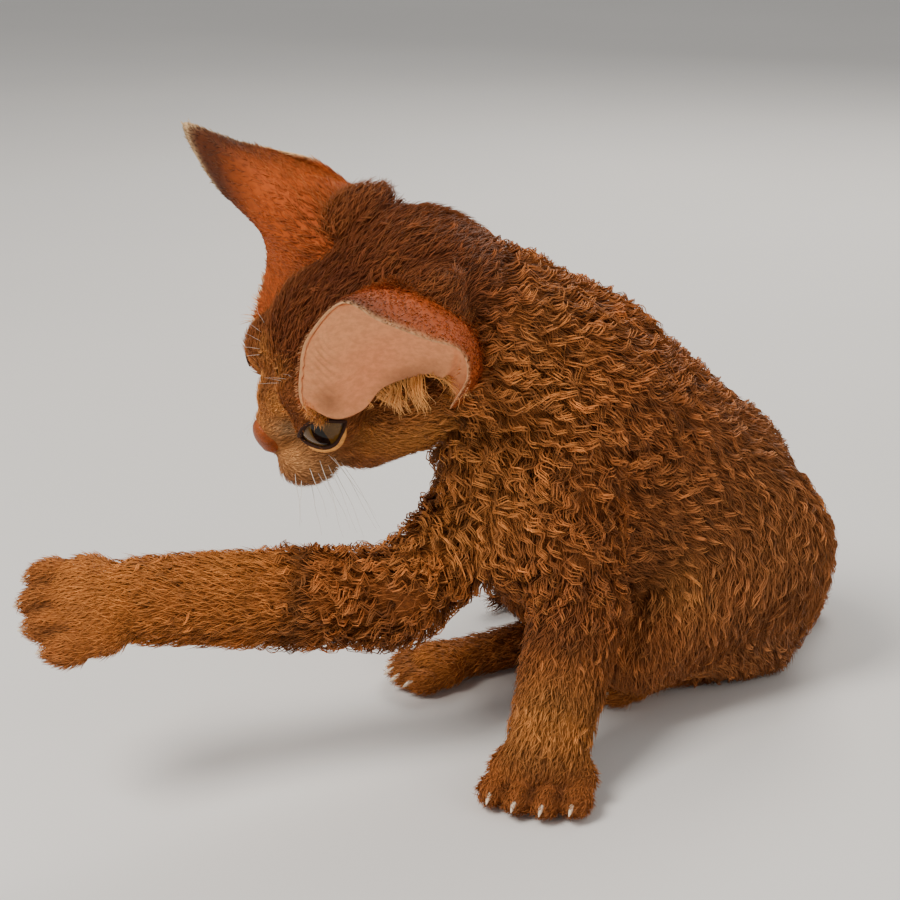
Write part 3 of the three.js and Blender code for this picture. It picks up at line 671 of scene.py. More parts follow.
def ear_material():
    shader = Shader("ear", {"Specular IOR Level": 0.15, "Subsurface Weight": 0.06, "Subsurface Scale": 0.002})
    grain = shader.noise(520, 4, 0.6)
    pores = shader.noise(2200, 2)
    dim = shader.mixed(grain.step(0.3, 0.7), (0.86, 0.82, 0.8, 1), (1.06, 1.05, 1.04, 1))
    colour = shader.mixed(1.0, shader.colour_attribute("markings_and_painted_light"), dim, "MULTIPLY")
    normal = shader.bump(grain + 0.4 * pores, 0.35, 0.0005)
    shader.surface_takes(Base_Color=colour, Roughness=0.6 + 0.2 * grain, Normal=normal)
    return shader.material


def eye_material(name, centre, look, wide, context):
    finish = {"Specular IOR Level": 0.2, "Coat Weight": 0.25, "Coat Roughness": 0.05, "IOR": 1.4}
    shader = Shader(name, finish)
    radius = EYE_RADIUS * HEAD_SCALE * MM
    values = {"Vector": shader.place(), "Scale": (1 / radius,) * 3}
    values["Location"] = tuple(-value / radius for value in centre)
    local = shader.node("ShaderNodeMapping", None, values)
    dots = {}
    for key, axis in (("look", look), ("wide", wide)):
        settings = {"operation": "DOT_PRODUCT"}
        dots[key] = shader.node("ShaderNodeVectorMath", settings, {0: local, 1: tuple(axis)}, "Value")
    ring = (1 - dots["look"]).step(0.0, 0.26)
    fibres = shader.noise(1500, 3)
    iris = colours(context, "iris")
    shaded = shader.mixed(ring, rgba(iris * 0.55), rgba(iris * 1.25))
    iris_colour = shader.mixed(fibres.step(0.35, 0.65), shaded, rgba(iris * 0.8))
    rim_share = (1 - dots["look"]).step(0.27, 0.3)
    colour = shader.mixed(rim_share, iris_colour, rgba((0.08, 0.05, 0.035)))
    upright = (1 - dots["look"] * dots["look"] - dots["wide"] * dots["wide"]) * 0.16
    behind = 20 * (1 - dots["look"]).step(0.9, 1.0)
    pupil = (dots["wide"] * dots["wide"] + upright + behind).step(0.03, 0.04)
    shader.surface_takes(Base_Color=shader.mixed(pupil, (0.004, 0.003, 0.003, 1), colour), Roughness=0.12)
    return shader.material


def wet_material(name, colour, roughness, pebble):
    shader = Shader(name, {"Specular IOR Level": 0.25})
    cells = shader.node("ShaderNodeTexVoronoi", None, {"Vector": shader.place(), "Scale": pebble}, "Distance")
    grain = shader.noise(700, 3)
    shade = shader.mixed(grain.step(0.3, 0.7), rgba(colour * 0.72), rgba(colour * 1.1))
    normal = shader.bump(cells, 0.5, 0.0003)
    shader.surface_takes(Base_Color=shade, Roughness=roughness + 0.15 * grain, Normal=normal)
    return shader.material


def horn_material(name, colour):
    shader = Shader(name, {"Specular IOR Level": 0.5, "Subsurface Weight": 0.1, "Subsurface Scale": 0.001})
    grain = shader.noise(600, 3, 0.5, shader.stretched((1, 1, 0.2)))
    shade = shader.mixed(grain.step(0.3, 0.7), rgba(colour * 0.75), rgba(np.minimum(colour * 1.08, 1)))
    shader.surface_takes(Base_Color=shade, Roughness=0.25 + 0.2 * grain)
    return shader.material


def set_colours(mesh, values):
    attribute = mesh.attributes.new("markings_and_painted_light", "FLOAT_COLOR", "POINT")
    packed = np.ones((len(values), 4), np.float32)
    packed[:, :3] = np.clip(values, 0, 1)
    attribute.data.foreach_set("color", packed.ravel())


def add_piece(name, mesh, material, slot, *nodes):
    mesh.materials.clear()
    mesh.materials.append(material)
    mesh.polygons.foreach_set("use_smooth", np.ones(len(mesh.polygons), bool))
    piece = bpy.data.objects.new(name, mesh)
    bpy.context.collection.objects.link(piece)
    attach(piece, "root")
    if nodes:
        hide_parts(*nodes)
    return piece


def points_of(mesh):
    flat = np.empty(len(mesh.vertices) * 3)
    mesh.vertices.foreach_get("co", flat)
    return flat.reshape(-1, 3)


def set_points(mesh, points):
    mesh.vertices.foreach_set("co", np.asarray(points, float).ravel())
    mesh.update()


def mesh_from(bm, name):
    mesh = bpy.data.meshes.new(name)
    bm.to_mesh(mesh)
    bm.free()
    return mesh


def bent_grid(name, columns, rows, place):
    """A fine grid, bent by a function of its two shares and closed where its edges meet."""
    bm = bmesh.new()
    bmesh.ops.create_grid(bm, x_segments=columns, y_segments=rows, size=0.5)
    shares_of = np.array([vertex.co[:2] for vertex in bm.verts]) + 0.5
    for vertex, point in zip(bm.verts, place(shares_of[:, 0], shares_of[:, 1])):
        vertex.co = point
    bmesh.ops.remove_doubles(bm, verts=bm.verts, dist=2e-5)
    bmesh.ops.recalc_face_normals(bm, faces=bm.faces)
    return mesh_from(bm, name)


def curve_through(points, share):
    """A smooth curve through points, read at shares of its length from 0 to 1."""
    points = np.asarray(points, float)
    padded = np.vstack([2 * points[0] - points[1], points, 2 * points[-1] - points[-2]])
    at = np.clip(share, 0, 1) * (len(points) - 1)
    i = np.minimum(at.astype(int), len(points) - 2)
    t = (at - i)[:, None]
    a, b, c, d = padded[i], padded[i + 1], padded[i + 2], padded[i + 3]
    return 0.5 * (2 * b + (c - a) * t + (2 * a - 5 * b + 4 * c - d) * t**2 + (3 * b - a - 3 * c + d) * t**3)


def tube(name, path, radii, sides=12, flat=1.0):
    """A round bar through points, closed at both ends."""
    path, radii = np.asarray(path, float), np.asarray(radii, float)

    def place(along, round_share):
        here = curve_through(path, along)
        way = unit(curve_through(path, along + 0.01) - curve_through(path, along - 0.01))
        side = unit(np.cross(way, np.array((0.31, 0.2, 0.93))))
        up = np.cross(way, side)
        end = np.sqrt(np.clip(1 - np.abs(2 * along - 1) ** 16, 0, 1))
        radius = (curve_through(radii[:, None] * (1, 0, 0), along)[:, 0] * end)[:, None]
        turn = (round_share * 2 * np.pi)[:, None]
        return to_frame(here + radius * (np.cos(turn) * side + flat * np.sin(turn) * up))

    return bent_grid(name, 8 * len(path), sides, place)


# The finished skin's triangles and their places on the unwrap, which the coat grows from.
SKIN = {}

ARMS = ("arm_left", "arm_right")
FORELEGS = ("forearm_left", "forearm_right")
HIND_LEGS = ("thigh_left", "thigh_right", "hind_left", "hind_right")
TAIL_PARTS = ("tail_near", "tail_far")
# Each part's cell of the unwrap: its corner, width and height.
UNWRAP_CELLS = {"trunk": (0.0, 0.0, 0.5, 0.5), "head": (0.5, 0.0, 0.5, 0.5)}
for number, part in enumerate(ARMS + FORELEGS + HIND_LEGS + TAIL_PARTS):
    UNWRAP_CELLS[part] = (0.2 * (number % 5), 0.5 + 0.25 * (number // 5), 0.2, 0.25)
REGIONS = list(UNWRAP_CELLS)
# The axis that each part is unrolled round.
UNWRAP_AXES = {
    "trunk": (NECK_TOP, RUMP),
    "head": (head_point(-40, 0, 0), head_point(50, 0, -8)),
    "tail_near": (TAIL[0], TAIL[2]),
    "tail_far": (TAIL[2], TAIL[5]),
}
for half in SHOULDER:
    UNWRAP_AXES["arm_" + half] = (SHOULDER[half], ELBOW[half])
    UNWRAP_AXES["forearm_" + half] = (ELBOW[half], PALM[half])
    UNWRAP_AXES["thigh_" + half] = (HIP[half], KNEE[half])
    UNWRAP_AXES["hind_" + half] = (HOCK[half], TOES[half])
# Pieces of short fur and of curls: the material slot of each, and the parts of the unwrap that it grows on.
FUR_PIECES = {
    "fur_trunk": ("coat", ("trunk", *ARMS)),
    "fur_head": ("face_fur", ("head",)),
    "fur_forelegs": ("paw_fur", FORELEGS),
    "fur_hind_legs": ("coat", HIND_LEGS),
    "fur_tail": ("coat", TAIL_PARTS),
}
CURL_PIECES = {
    "curls_trunk": ("coat", ("trunk", "head")),
    "curls_forelegs": ("coat", ARMS + FORELEGS),
    "curls_hind_legs": ("coat", HIND_LEGS),
    "curls_tail": ("coat", TAIL_PARTS),
}


def region_numbers(near):
    """The part of the unwrap that each point is in, from its shares of the masses."""
    return np.array([REGIONS.index(mass.region) for mass in MASSES])[near.argmax(axis=1)]


def unwrap(mesh, points, regions):
    """Unrolls the skin round each part's own axis, each part into its own cell."""
    loops = np.empty(len(mesh.loops), int)
    mesh.loops.foreach_get("vertex_index", loops)
    totals = np.empty(len(mesh.polygons), int)
    mesh.polygons.foreach_get("loop_total", totals)
    face_of = np.repeat(np.arange(len(totals)), totals)
    first = np.concatenate([[0], np.cumsum(totals)[:-1]])
    centres = np.add.reduceat(points[loops], first, axis=0) / totals[:, None]
    face_region = regions[loops[first]]
    found = np.zeros((len(loops), 2))
    for number, name in enumerate(REGIONS):
        start, end = (np.asarray(place, float) for place in UNWRAP_AXES[name])
        way = unit(end - start)
        side = unit(np.cross(way, (0.2, 0.3, 0.9)))
        up = np.cross(way, side)
        chosen = face_region[face_of] == number
        if not chosen.any():
            continue
        d = points[loops[chosen]] - start
        c = centres[face_of[chosen]] - start
        middle = np.arctan2(c @ up, c @ side)
        turn = np.arctan2(d @ up, d @ side) - middle
        angle = middle + (turn + np.pi) % (2 * np.pi) - np.pi
        along = d @ way
        low, high = along.min(), along.max()
        x, y, wide, tall = UNWRAP_CELLS[name]
        found[chosen, 0] = x + wide * (0.06 + 0.88 * (angle / (2 * np.pi) + 0.5))
        found[chosen, 1] = y + tall * (0.04 + 0.92 * (along - low) / max(high - low, 1e-6))
    layer = mesh.uv_layers.new(name="OFBake")
    layer.data.foreach_set("uv", np.clip(found, 0, 1).ravel())


def eye_axes(side):
    """The ways across an eye's slit, up it and out of the eye."""
    look, wide = (unit(to_side(way, side) @ HEAD_AXES) for way in (EYE_LOOK, EYE_WIDE))
    tall = -side * unit(np.cross(look, wide))
    return np.stack([unit(np.cross(tall, look)), tall, look])


def eye_centre(side):
    return from_head(to_side(EYE_PLACE, side))


def in_slit(points, side, spare):
    """Whether points lie in front of an eye, in the slit between its lids or within a spare width of it."""
    across, up, out = ((points - eye_centre(side)) @ eye_axes(side).T).T
    open_height = (SLIT_TALL + spare) * (1 - (across / (SLIT_HALF + spare)) ** 2)
    return (open_height > np.abs(up)) & (out > 0) & (out < SLIT_REACH)


def distance_to_path(points, path):
    fine = curve_through(path, np.linspace(0, 1, 60))
    return np.min(np.linalg.norm(points[:, None, :] - fine[None], axis=2), axis=1)


def carve_head(points, outs):
    """Sinks the line of the mouth, the corners of the eyes and the cup's floor, and raises the lips."""
    move = np.zeros(len(points))
    near_head = np.linalg.norm(points - head_point(20, 0, 0), axis=1) < 60
    chosen = points[near_head]
    local = head_places(chosen)
    change = np.zeros(len(chosen))
    for side in (1, -1):
        gap = distance_to_path(chosen, from_head(to_side(MOUTH, side)))
        change += 0.7 * np.exp(-(((gap - 2.4) / 1.3) ** 2)) - 1.7 * np.exp(-((gap / 0.9) ** 2))
        corner = np.array((34.5, side * 8.6, -1.5))
        change -= 1.6 * np.exp(-((np.linalg.norm(local - corner, axis=1) / 3.0) ** 2))
        floor = to_side(EAR_FLOOR, side)
        change -= 2.0 * np.exp(-((np.linalg.norm(local - floor, axis=1) / 10) ** 4))
    move[near_head] = change
    return points + outs * move[:, None]


class KITTEN_OT_skin(bpy.types.Operator):
    """Makes one seamless skin under the coat, from the masses of flesh"""

    bl_idname = "kitten.skin"
    bl_label = "Skin"

    def execute(self, context):
        mesh = self.one_surface(context)
        points = self.sunk(points_of(mesh) / MM)
        near, _, _ = shares(points)
        set_points(mesh, to_frame(points))
        unwrap(mesh, points, region_numbers(near))
        set_colours(mesh, markings_and_painted_light(points, context))
        self.cut_slits(mesh)
        flesh = [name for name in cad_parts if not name.startswith(("eye_", "ear_"))]
        piece = add_piece("skin", mesh, skin_material(), "coat", *flesh)
        self.keep(piece.data)
        return {"FINISHED"}

    def one_surface(self, context):
        """Runs the masses together into one closed mesh, finer on the muzzle."""
        bm = bmesh.new()
        for mass in MASSES:
            mass.add_to(bm, 1.0)
        bmesh.ops.scale(bm, vec=(MM, MM, MM), verts=bm.verts)
        rough = bpy.data.objects.new("rough skin", mesh_from(bm, "rough skin"))
        context.collection.objects.link(rough)
        remesh = rough.modifiers.new("one surface", "REMESH")
        remesh.mode = "VOXEL"
        remesh.voxel_size = context.scene.kitten_sizes.skin_step
        mesh = bpy.data.meshes.new_from_object(rough.evaluated_get(context.evaluated_depsgraph_get()))
        bpy.data.objects.remove(rough)
        bm = bmesh.new()
        bm.from_mesh(mesh)
        for place, radius in FINE_SKIN:
            middle = Vector(head_point(*place) * MM)
            edges = [edge for edge in bm.edges if (edge.verts[0].co - middle).length < radius * MM]
            bmesh.ops.subdivide_edges(bm, edges=edges, cuts=1, use_grid_fill=True)
        bmesh.ops.triangulate(bm, faces=[face for face in bm.faces if len(face.verts) > 4])
        return mesh_from(bm, "skin")

    def sunk(self, points):
        """Moves points to the coat's depth under its outline, in a few steps, and carves the head."""
        depths = shares(points)[1] @ coat_values("depth")
        for _ in range(5):
            here = outline(points)
            slope = slope_of(points, here)
            size = np.maximum((slope**2).sum(axis=1), 0.25)
            points = points - slope * ((here + depths) / size * 0.9)[:, None]
        points = carve_head(points, unit(slope))
        points[:, 2] = np.maximum(points[:, 2], 0.5)
        return points

    def cut_slits(self, mesh):
        """Opens the skin between the lids."""
        bm = bmesh.new()
        bm.from_mesh(mesh)
        centres = np.array([face.calc_center_median()[:] for face in bm.faces]) / MM - SHIFT
        doomed = in_slit(centres, 1, 0.3) | in_slit(centres, -1, 0.3)
        bm.faces.ensure_lookup_table()
        bmesh.ops.delete(bm, geom=[bm.faces[i] for i in np.flatnonzero(doomed)], context="FACES")
        bm.to_mesh(mesh)
        bm.free()

    def keep(self, mesh):
        """Notes the finished skin's triangles for the coat."""
        mesh.calc_loop_triangles()
        count = len(mesh.loop_triangles)
        corners, loops = np.empty(count * 3, int), np.empty(count * 3, int)
        mesh.loop_triangles.foreach_get("vertices", corners)
        mesh.loop_triangles.foreach_get("loops", loops)
        uvs = np.empty(len(mesh.loops) * 2)
        mesh.uv_layers["OFBake"].data.foreach_get("uv", uvs)
        points = points_of(mesh) / MM - SHIFT
        SKIN["corners"] = points[corners.reshape(-1, 3)]
        SKIN["uvs"] = uvs.reshape(-1, 2)[loops.reshape(-1, 3)]


def scatter(rng, corners, uvs, density):
    """Roots spread over triangles: their places, normals and places on the unwrap."""
    normals = np.cross(corners[:, 1] - corners[:, 0], corners[:, 2] - corners[:, 0])
    areas = np.linalg.norm(normals, axis=1) / 2
    reach = np.cumsum(areas * density)
    count = int(reach[-1])
    steps = (np.arange(count) + rng.random(count)) * reach[-1] / count
    picks = np.minimum(np.searchsorted(reach, steps), len(reach) - 1)
    a, b = rng.random(count), rng.random(count)
    over = a + b > 1
    a[over], b[over] = 1 - a[over], 1 - b[over]
    weights = np.stack([1 - a - b, a, b], axis=1)[:, :, None]
    return (corners[picks] * weights).sum(axis=1), unit(normals[picks]), (uvs[picks] * weights).sum(axis=1)


class Strands(NamedTuple):
    """Strands of hair: points, sideways directions, widths, colours along them and places on the unwrap."""

    paths: np.ndarray
    sides: np.ndarray
    widths: np.ndarray
    tints: np.ndarray
    spots: np.ndarray

    def some(self, chosen):
        return Strands(*(values[chosen] for values in self))


def strand_mesh(name, strands):
    """One mesh of tapered, three-sided strands. The last point of each path is its tip."""
    paths, sides, tints = strands.paths, strands.sides, strands.tints
    count, points = paths.shape[:2]
    rings = points - 1
    ways = unit(np.diff(paths, axis=1))
    ups = np.cross(ways, sides[:, None, :])
    turns = np.arange(3) * 2 * np.pi / 3
    shares_along = np.arange(rings) / rings
    taper = (1 - 0.75 * shares_along**1.6) * strands.widths[:, None] / 2
    ring = sides[:, None, None, :] * np.cos(turns)[:, None]
    ring = ring + 0.7 * ups[:, :, None, :] * np.sin(turns)[:, None]
    around = paths[:, :rings, None, :] + ring * taper[:, :, None, None]
    each = rings * 3 + 1
    vertices = np.concatenate([around.reshape(count, rings * 3, 3), paths[:, -1:, :]], axis=1)
    last = (rings - 1) * 3
    quads = [
        (low + turn, low + (turn + 1) % 3, low + 3 + (turn + 1) % 3, low + 3 + turn)
        for low in range(0, last, 3)
        for turn in range(3)
    ]
    tips = [(last + turn, last + (turn + 1) % 3, last + 3) for turn in range(3)]
    one = np.array([corner for face in quads + tips for corner in face])
    totals = np.tile([4] * len(quads) + [3] * len(tips), count)
    loops = (np.arange(count)[:, None] * each + one[None]).ravel()
    mesh = bpy.data.meshes.new(name)
    mesh.vertices.add(count * each)
    mesh.vertices.foreach_set("co", to_frame(vertices).ravel())
    mesh.loops.add(len(loops))
    mesh.loops.foreach_set("vertex_index", loops)
    mesh.polygons.add(len(totals))
    mesh.polygons.foreach_set("loop_start", np.concatenate([[0], np.cumsum(totals)[:-1]]))
    mesh.polygons.foreach_set("loop_total", totals)
    ring_tints = np.concatenate([np.repeat(tints[:, :rings], 3, axis=1), tints[:, -1:]], axis=1)
    set_colours(mesh, ring_tints.reshape(-1, 3))
    turn_of = np.append(np.tile(turns, rings), 0.0)
    along_of = np.append(np.repeat(shares_along, 3), 1.0)
    patch = np.stack([0.0012 * np.cos(turn_of), 0.0028 * (along_of - 0.5)], axis=1)
    spots = (strands.spots[:, None, :] + patch[one][None]).reshape(-1, 2)
    mesh.uv_layers.new(name="OFBake").data.foreach_set("uv", np.clip(spots, 0, 1).ravel())
    mesh.update(calc_edges=True)
    return mesh


def add_strands(name, material, slot, strands):
    """Adds strands as pieces that each stay well under two hundred thousand triangles."""
    count, points = strands.paths.shape[:2]
    faces = (points - 2) * 6 + 3
    parts = max(1, math.ceil(count * faces / MOST_TRIANGLES))
    for number, chosen in enumerate(np.array_split(np.arange(count), parts)):
        own = name if parts == 1 else f"{name}_{number + 1}"
        add_piece(own, strand_mesh(own, strands.some(chosen)), material, slot)


def add_coat(pieces, material, strands, regions, order):
    """Adds strands as the named pieces, each over its own parts and with the strands in order."""
    for name, (slot, wanted) in pieces.items():
        chosen = np.flatnonzero(np.isin(regions, [REGIONS.index(region) for region in wanted]))
        chosen = chosen[np.argsort(order[chosen], kind="stable")]
        add_strands(name, material, slot, strands.some(chosen))


def strand_tints(rng, base, points, root_shade, gold, dark, ticked):
    """Colours along strands: painted shade at the root, the coat's own colour, then a golden or a dark tip."""
    t = np.linspace(0, 1, points)[None, :, None]
    own = base[:, None, :] * rng.normal(1, 0.14, (len(base), 1, 1)).clip(0.6, 1.5)
    shade = root_shade + (1.12 - root_shade) * np.clip(t * 1.5, 0, 1) ** 0.8
    tip = np.where(rng.random(len(base))[:, None] < ticked, dark, gold)[:, None, :]
    strength = rng.uniform(0.05, 0.55, (len(base), 1, 1)) * np.clip((t - 0.45) / 0.55, 0, 1)
    bright = (base.mean(axis=1) / gold.mean())[:, None, None] ** 0.5
    return own * shade * (1 - strength) + tip * strength * bright


def bare_share(points):
    """1 where the coat is left off: in the cups of the ears, in the eyes' slits and on the nose."""
    local = head_places(points)
    bare = np.zeros(len(points))
    for side in (1, -1):
        bare = np.maximum(bare, np.linalg.norm(local - to_side(EAR_FLOOR, side), axis=1) < 9)
        bare = np.maximum(bare, in_slit(points, side, 0.8))
    middle, reach = NOSE_BARE
    nose = np.linalg.norm((local - middle) / reach, axis=1) < 1
    return np.maximum(bare, nose)


def coat_roots(rng, number, lowest):
    """Roots on the skin, as many as the kinds of coat there have, off its bare places and above a height."""
    corners = SKIN["corners"]
    centres = corners.mean(axis=1)
    _, kinds, _ = shares(centres)
    density = kinds @ coat_values(number) * (1 - bare_share(centres)) * (centres[:, 2] > lowest)
    return scatter(rng, corners, SKIN["uvs"], density)


class KITTEN_OT_short_fur(bpy.types.Operator):
    """Covers the skin with short, lying hair, densest and finest on the face and paws"""

    bl_idname = "kitten.short_fur"
    bl_label = "Short fur"

    def execute(self, context):
        rng = np.random.default_rng(5)
        roots, outs, spots = coat_roots(rng, "many", 1.2)
        near, kinds, lies = shares(roots)
        count = len(roots)
        lie = along_skin(lies, outs)
        lie = unit(lie + rng.normal(0, 0.3, count)[:, None] * np.cross(outs, lie))
        side = np.cross(outs, lie)
        length = kinds @ coat_values("length") * rng.uniform(0.65, 1.2, count)
        lift = kinds @ coat_values("lift") * rng.uniform(0.6, 1.5, count)
        width = kinds @ coat_values("width") * rng.uniform(0.8, 1.2, count)
        t = np.linspace(0, 1, 3)[None, :, None]
        rise = (lift * length)[:, None, None] * (t - 0.5 * t**2) * 1.6 - 0.3 * (1 - t)
        bend = (rng.normal(0, 0.16, count) * length)[:, None, None] * t**2
        paths = roots[:, None, :] + lie[:, None, :] * (t * length[:, None, None]) + outs[:, None, :] * rise
        paths = paths + side[:, None, :] * bend
        paths[:, :, 2] = np.maximum(paths[:, :, 2], 0.25)
        gold, dark = colours(context, "gold"), colours(context, "dark")
        tints = strand_tints(rng, markings_and_painted_light(roots, context), 3, 0.5, gold, dark, 0.3)
        strands = Strands(paths, side, width, tints, spots)
        add_coat(FUR_PIECES, hair_material("short hair"), strands, region_numbers(near), np.arange(count))
        return {"FINISHED"}


class KITTEN_OT_curls(bpy.types.Operator):
    """Lays waved locks over the neck, chest, shoulders, back, rump and thighs, each of several strands"""

    bl_idname = "kitten.curls"
    bl_label = "Curls"

    def execute(self, context):
        rng = np.random.default_rng(8)
        roots, outs, spots = coat_roots(rng, "locks", 5)
        near, kinds, lies = shares(roots)
        count = len(roots)
        lie = along_skin(lies, outs)
        side = np.cross(outs, lie)
        swing = 0.45 * np.sin(roots[:, 0] * 0.16 + roots[:, 2] * 0.21) + rng.normal(0, 0.28, count)
        lie = lie * np.cos(swing)[:, None] + side * np.sin(swing)[:, None]
        side = np.cross(outs, lie)
        depth = kinds @ coat_values("depth")
        middle, up, turn = self.waves(rng, roots, outs, lie, side, kinds)
        paths, widths = self.around(rng, middle, up, lie, side, depth)
        base = markings_and_painted_light(roots, context) * rng.normal(1, 0.2, (count, 1)).clip(0.55, 1.6)
        base = np.tile(base, (LOCK_STRANDS, 1))
        gold, dark = colours(context, "gold"), colours(context, "dark")
        tints = strand_tints(rng, base, LOCK_POINTS, 0.3, gold, dark, 0.18)
        # Painted highlight on the crests of each lock's waves and painted shade in its troughs.
        painted_crest_light = np.tile(0.72 + 0.5 * (0.5 + 0.5 * np.cos(turn)), (LOCK_STRANDS, 1))[..., None]
        sides, spots = np.tile(side, (LOCK_STRANDS, 1)), np.tile(spots, (LOCK_STRANDS, 1))
        strands = Strands(paths, sides, widths, tints * painted_crest_light, spots)
        regions = np.tile(region_numbers(near), LOCK_STRANDS)
        order = np.tile(np.arange(count), LOCK_STRANDS)
        add_coat(CURL_PIECES, hair_material("curled hair"), strands, regions, order)
        return {"FINISHED"}

    def waves(self, rng, roots, outs, lie, side, kinds):
        """Each lock's middle line, waved along the coat's outside, with the way up and its wave's turn."""
        count = len(roots)
        length = kinds @ coat_values("lock") * rng.uniform(0.75, 1.2, count)
        curl = kinds @ coat_values("curl") * rng.uniform(0.6, 1.35, count)
        wave = kinds @ coat_values("wave") * rng.uniform(0.8, 1.2, count)
        depth = kinds @ coat_values("depth")
        phase = rng.uniform(0, 2 * np.pi, count)
        t = np.linspace(0, 1, LOCK_POINTS)[None, :]
        along = t * length[:, None]
        grown = np.clip(t * 2.6, 0, 1)
        turn = 2 * np.pi * along / wave[:, None] + phase[:, None]
        sway = curl[:, None] * grown * np.sin(turn)
        bob = 0.55 * curl[:, None] * grown * (1 + np.cos(turn))
        rise = depth[:, None] * (0.95 * np.clip(t * 1.8, 0, 1) ** 0.7 - 0.1 - 0.25 * t**3)
        middle = roots[:, None] + lie[:, None] * (along * 0.86)[..., None] + side[:, None] * sway[..., None]
        flat = (middle + outs[:, None] * rise[..., None]).reshape(-1, 3)
        here = outline(flat)
        up = unit(slope_of(flat, here))
        wanted = (rise + bob).ravel() - np.repeat(depth, LOCK_POINTS)
        flat = flat + up * np.clip(wanted - here, -6, 6)[:, None]
        return flat.reshape(count, LOCK_POINTS, 3), up.reshape(count, LOCK_POINTS, 3), turn

    def around(self, rng, middle, up, lie, side, depth):
        """The strands round each lock's middle line, which gather towards its tip, and their widths."""
        count = len(middle)
        t = np.linspace(0, 1, LOCK_POINTS)[None, :, None]
        gather, grown = 1.15 - 0.75 * t, np.clip(t * 2.6, 0, 1)
        paths, widths = [], []
        for strand in range(LOCK_STRANDS):
            angle = strand / LOCK_STRANDS * 2 * np.pi + rng.uniform(0, 1, (count, 1, 1))
            radius = rng.uniform(0.4, 1.7, (count, 1, 1)) * (depth[:, None, None] / 4.5)
            offset = side[:, None] * (radius * np.cos(angle)) + up * (0.45 * radius * np.sin(angle))
            slip = lie[:, None] * rng.normal(0, 0.6, (count, 1, 1))
            one = middle + offset * gather + slip * grown
            keep = rng.uniform(0.8, 1.0, (count, 1, 1))
            paths.append(one[:, :1] + (one - one[:, :1]) * keep)
            widths.append(rng.uniform(0.75, 1.2, count) * (0.32 + 0.095 * depth))
        paths = np.concatenate(paths)
        paths[:, :, 2] = np.maximum(paths[:, :, 2], 0.3)
        return paths, np.concatenate(widths)


def ear_sheet(side, along, rise):
    """A point on the middle of an ear's sheet, from its root at rise 0 to its rim at rise 1."""
    root = from_head(curve_through(to_side(EAR_ROOT, side), along))
    rim = from_head(curve_through(to_side(EAR_RIMS[side], side), along))
    centre = from_head(to_side(EAR_MIDDLE, side))
    middle = root + 0.45 * (rim - root)
    bulge = EAR_BULGE * np.sin(np.pi * along) * (0.3 + 0.9 * along)
    middle = middle + unit(middle - centre) * bulge[:, None]
    rise = rise[:, None]
    return (1 - rise) ** 2 * root + 2 * rise * (1 - rise) * middle + rise**2 * rim


def ear_normal(side, along, rise):
    """The way from an ear's sheet to its outer side."""
    step = 0.004
    across = ear_sheet(side, along + step, rise) - ear_sheet(side, along - step, rise)
    up = ear_sheet(side, along, rise + step) - ear_sheet(side, along, rise - step)
    normal = unit(np.cross(across, up))
    centre = from_head(to_side(EAR_MIDDLE, side))
    outwards = np.sign(((ear_sheet(side, along, rise) - centre) * normal).sum(axis=1).mean())
    return normal * outwards


def ear_surface(side, along, rise, outer):
    """A point on the ear's inner or outer face, with its ridges and its lobe."""
    wall = EAR_WALL / 2 * (1 - 0.3 * rise) * np.sqrt(np.clip(1 - rise**10, 0, 1))
    wall = wall * np.sqrt(np.clip(1 - np.abs(2 * along - 1) ** 24, 0, 1)) * np.sqrt(np.clip(rise * 12, 0, 1))
    inner = 1 - outer
    front = np.exp(-(((along - 0.2) / 0.08) ** 2)) * np.exp(-(((rise - 0.75) / 0.25) ** 2))
    ridges = 0.6 * np.sin(along * 170 - 9 * rise) * front * inner
    folds = 0.7 * np.sin(rise * 26 + along * 9) * np.exp(-(((along - 0.86) / 0.1) ** 2)) * inner
    move = wall * (2 * outer - 1) - (ridges + 0.5 * folds) * np.sqrt(np.clip(1 - rise**10, 0, 1))
    return ear_sheet(side, along, rise) + ear_normal(side, along, rise) * move[:, None]


def fold_window(across, down):
    """Where the lining has folds: on its front edge, half way down."""
    return np.exp(-(((across - 0.12) / 0.09) ** 2)) * np.exp(-(((down - 0.5) / 0.25) ** 2))


def fold_wave(across, down):
    return np.abs(np.sin(np.pi * 11.5 * (down - 1.5 * across)))


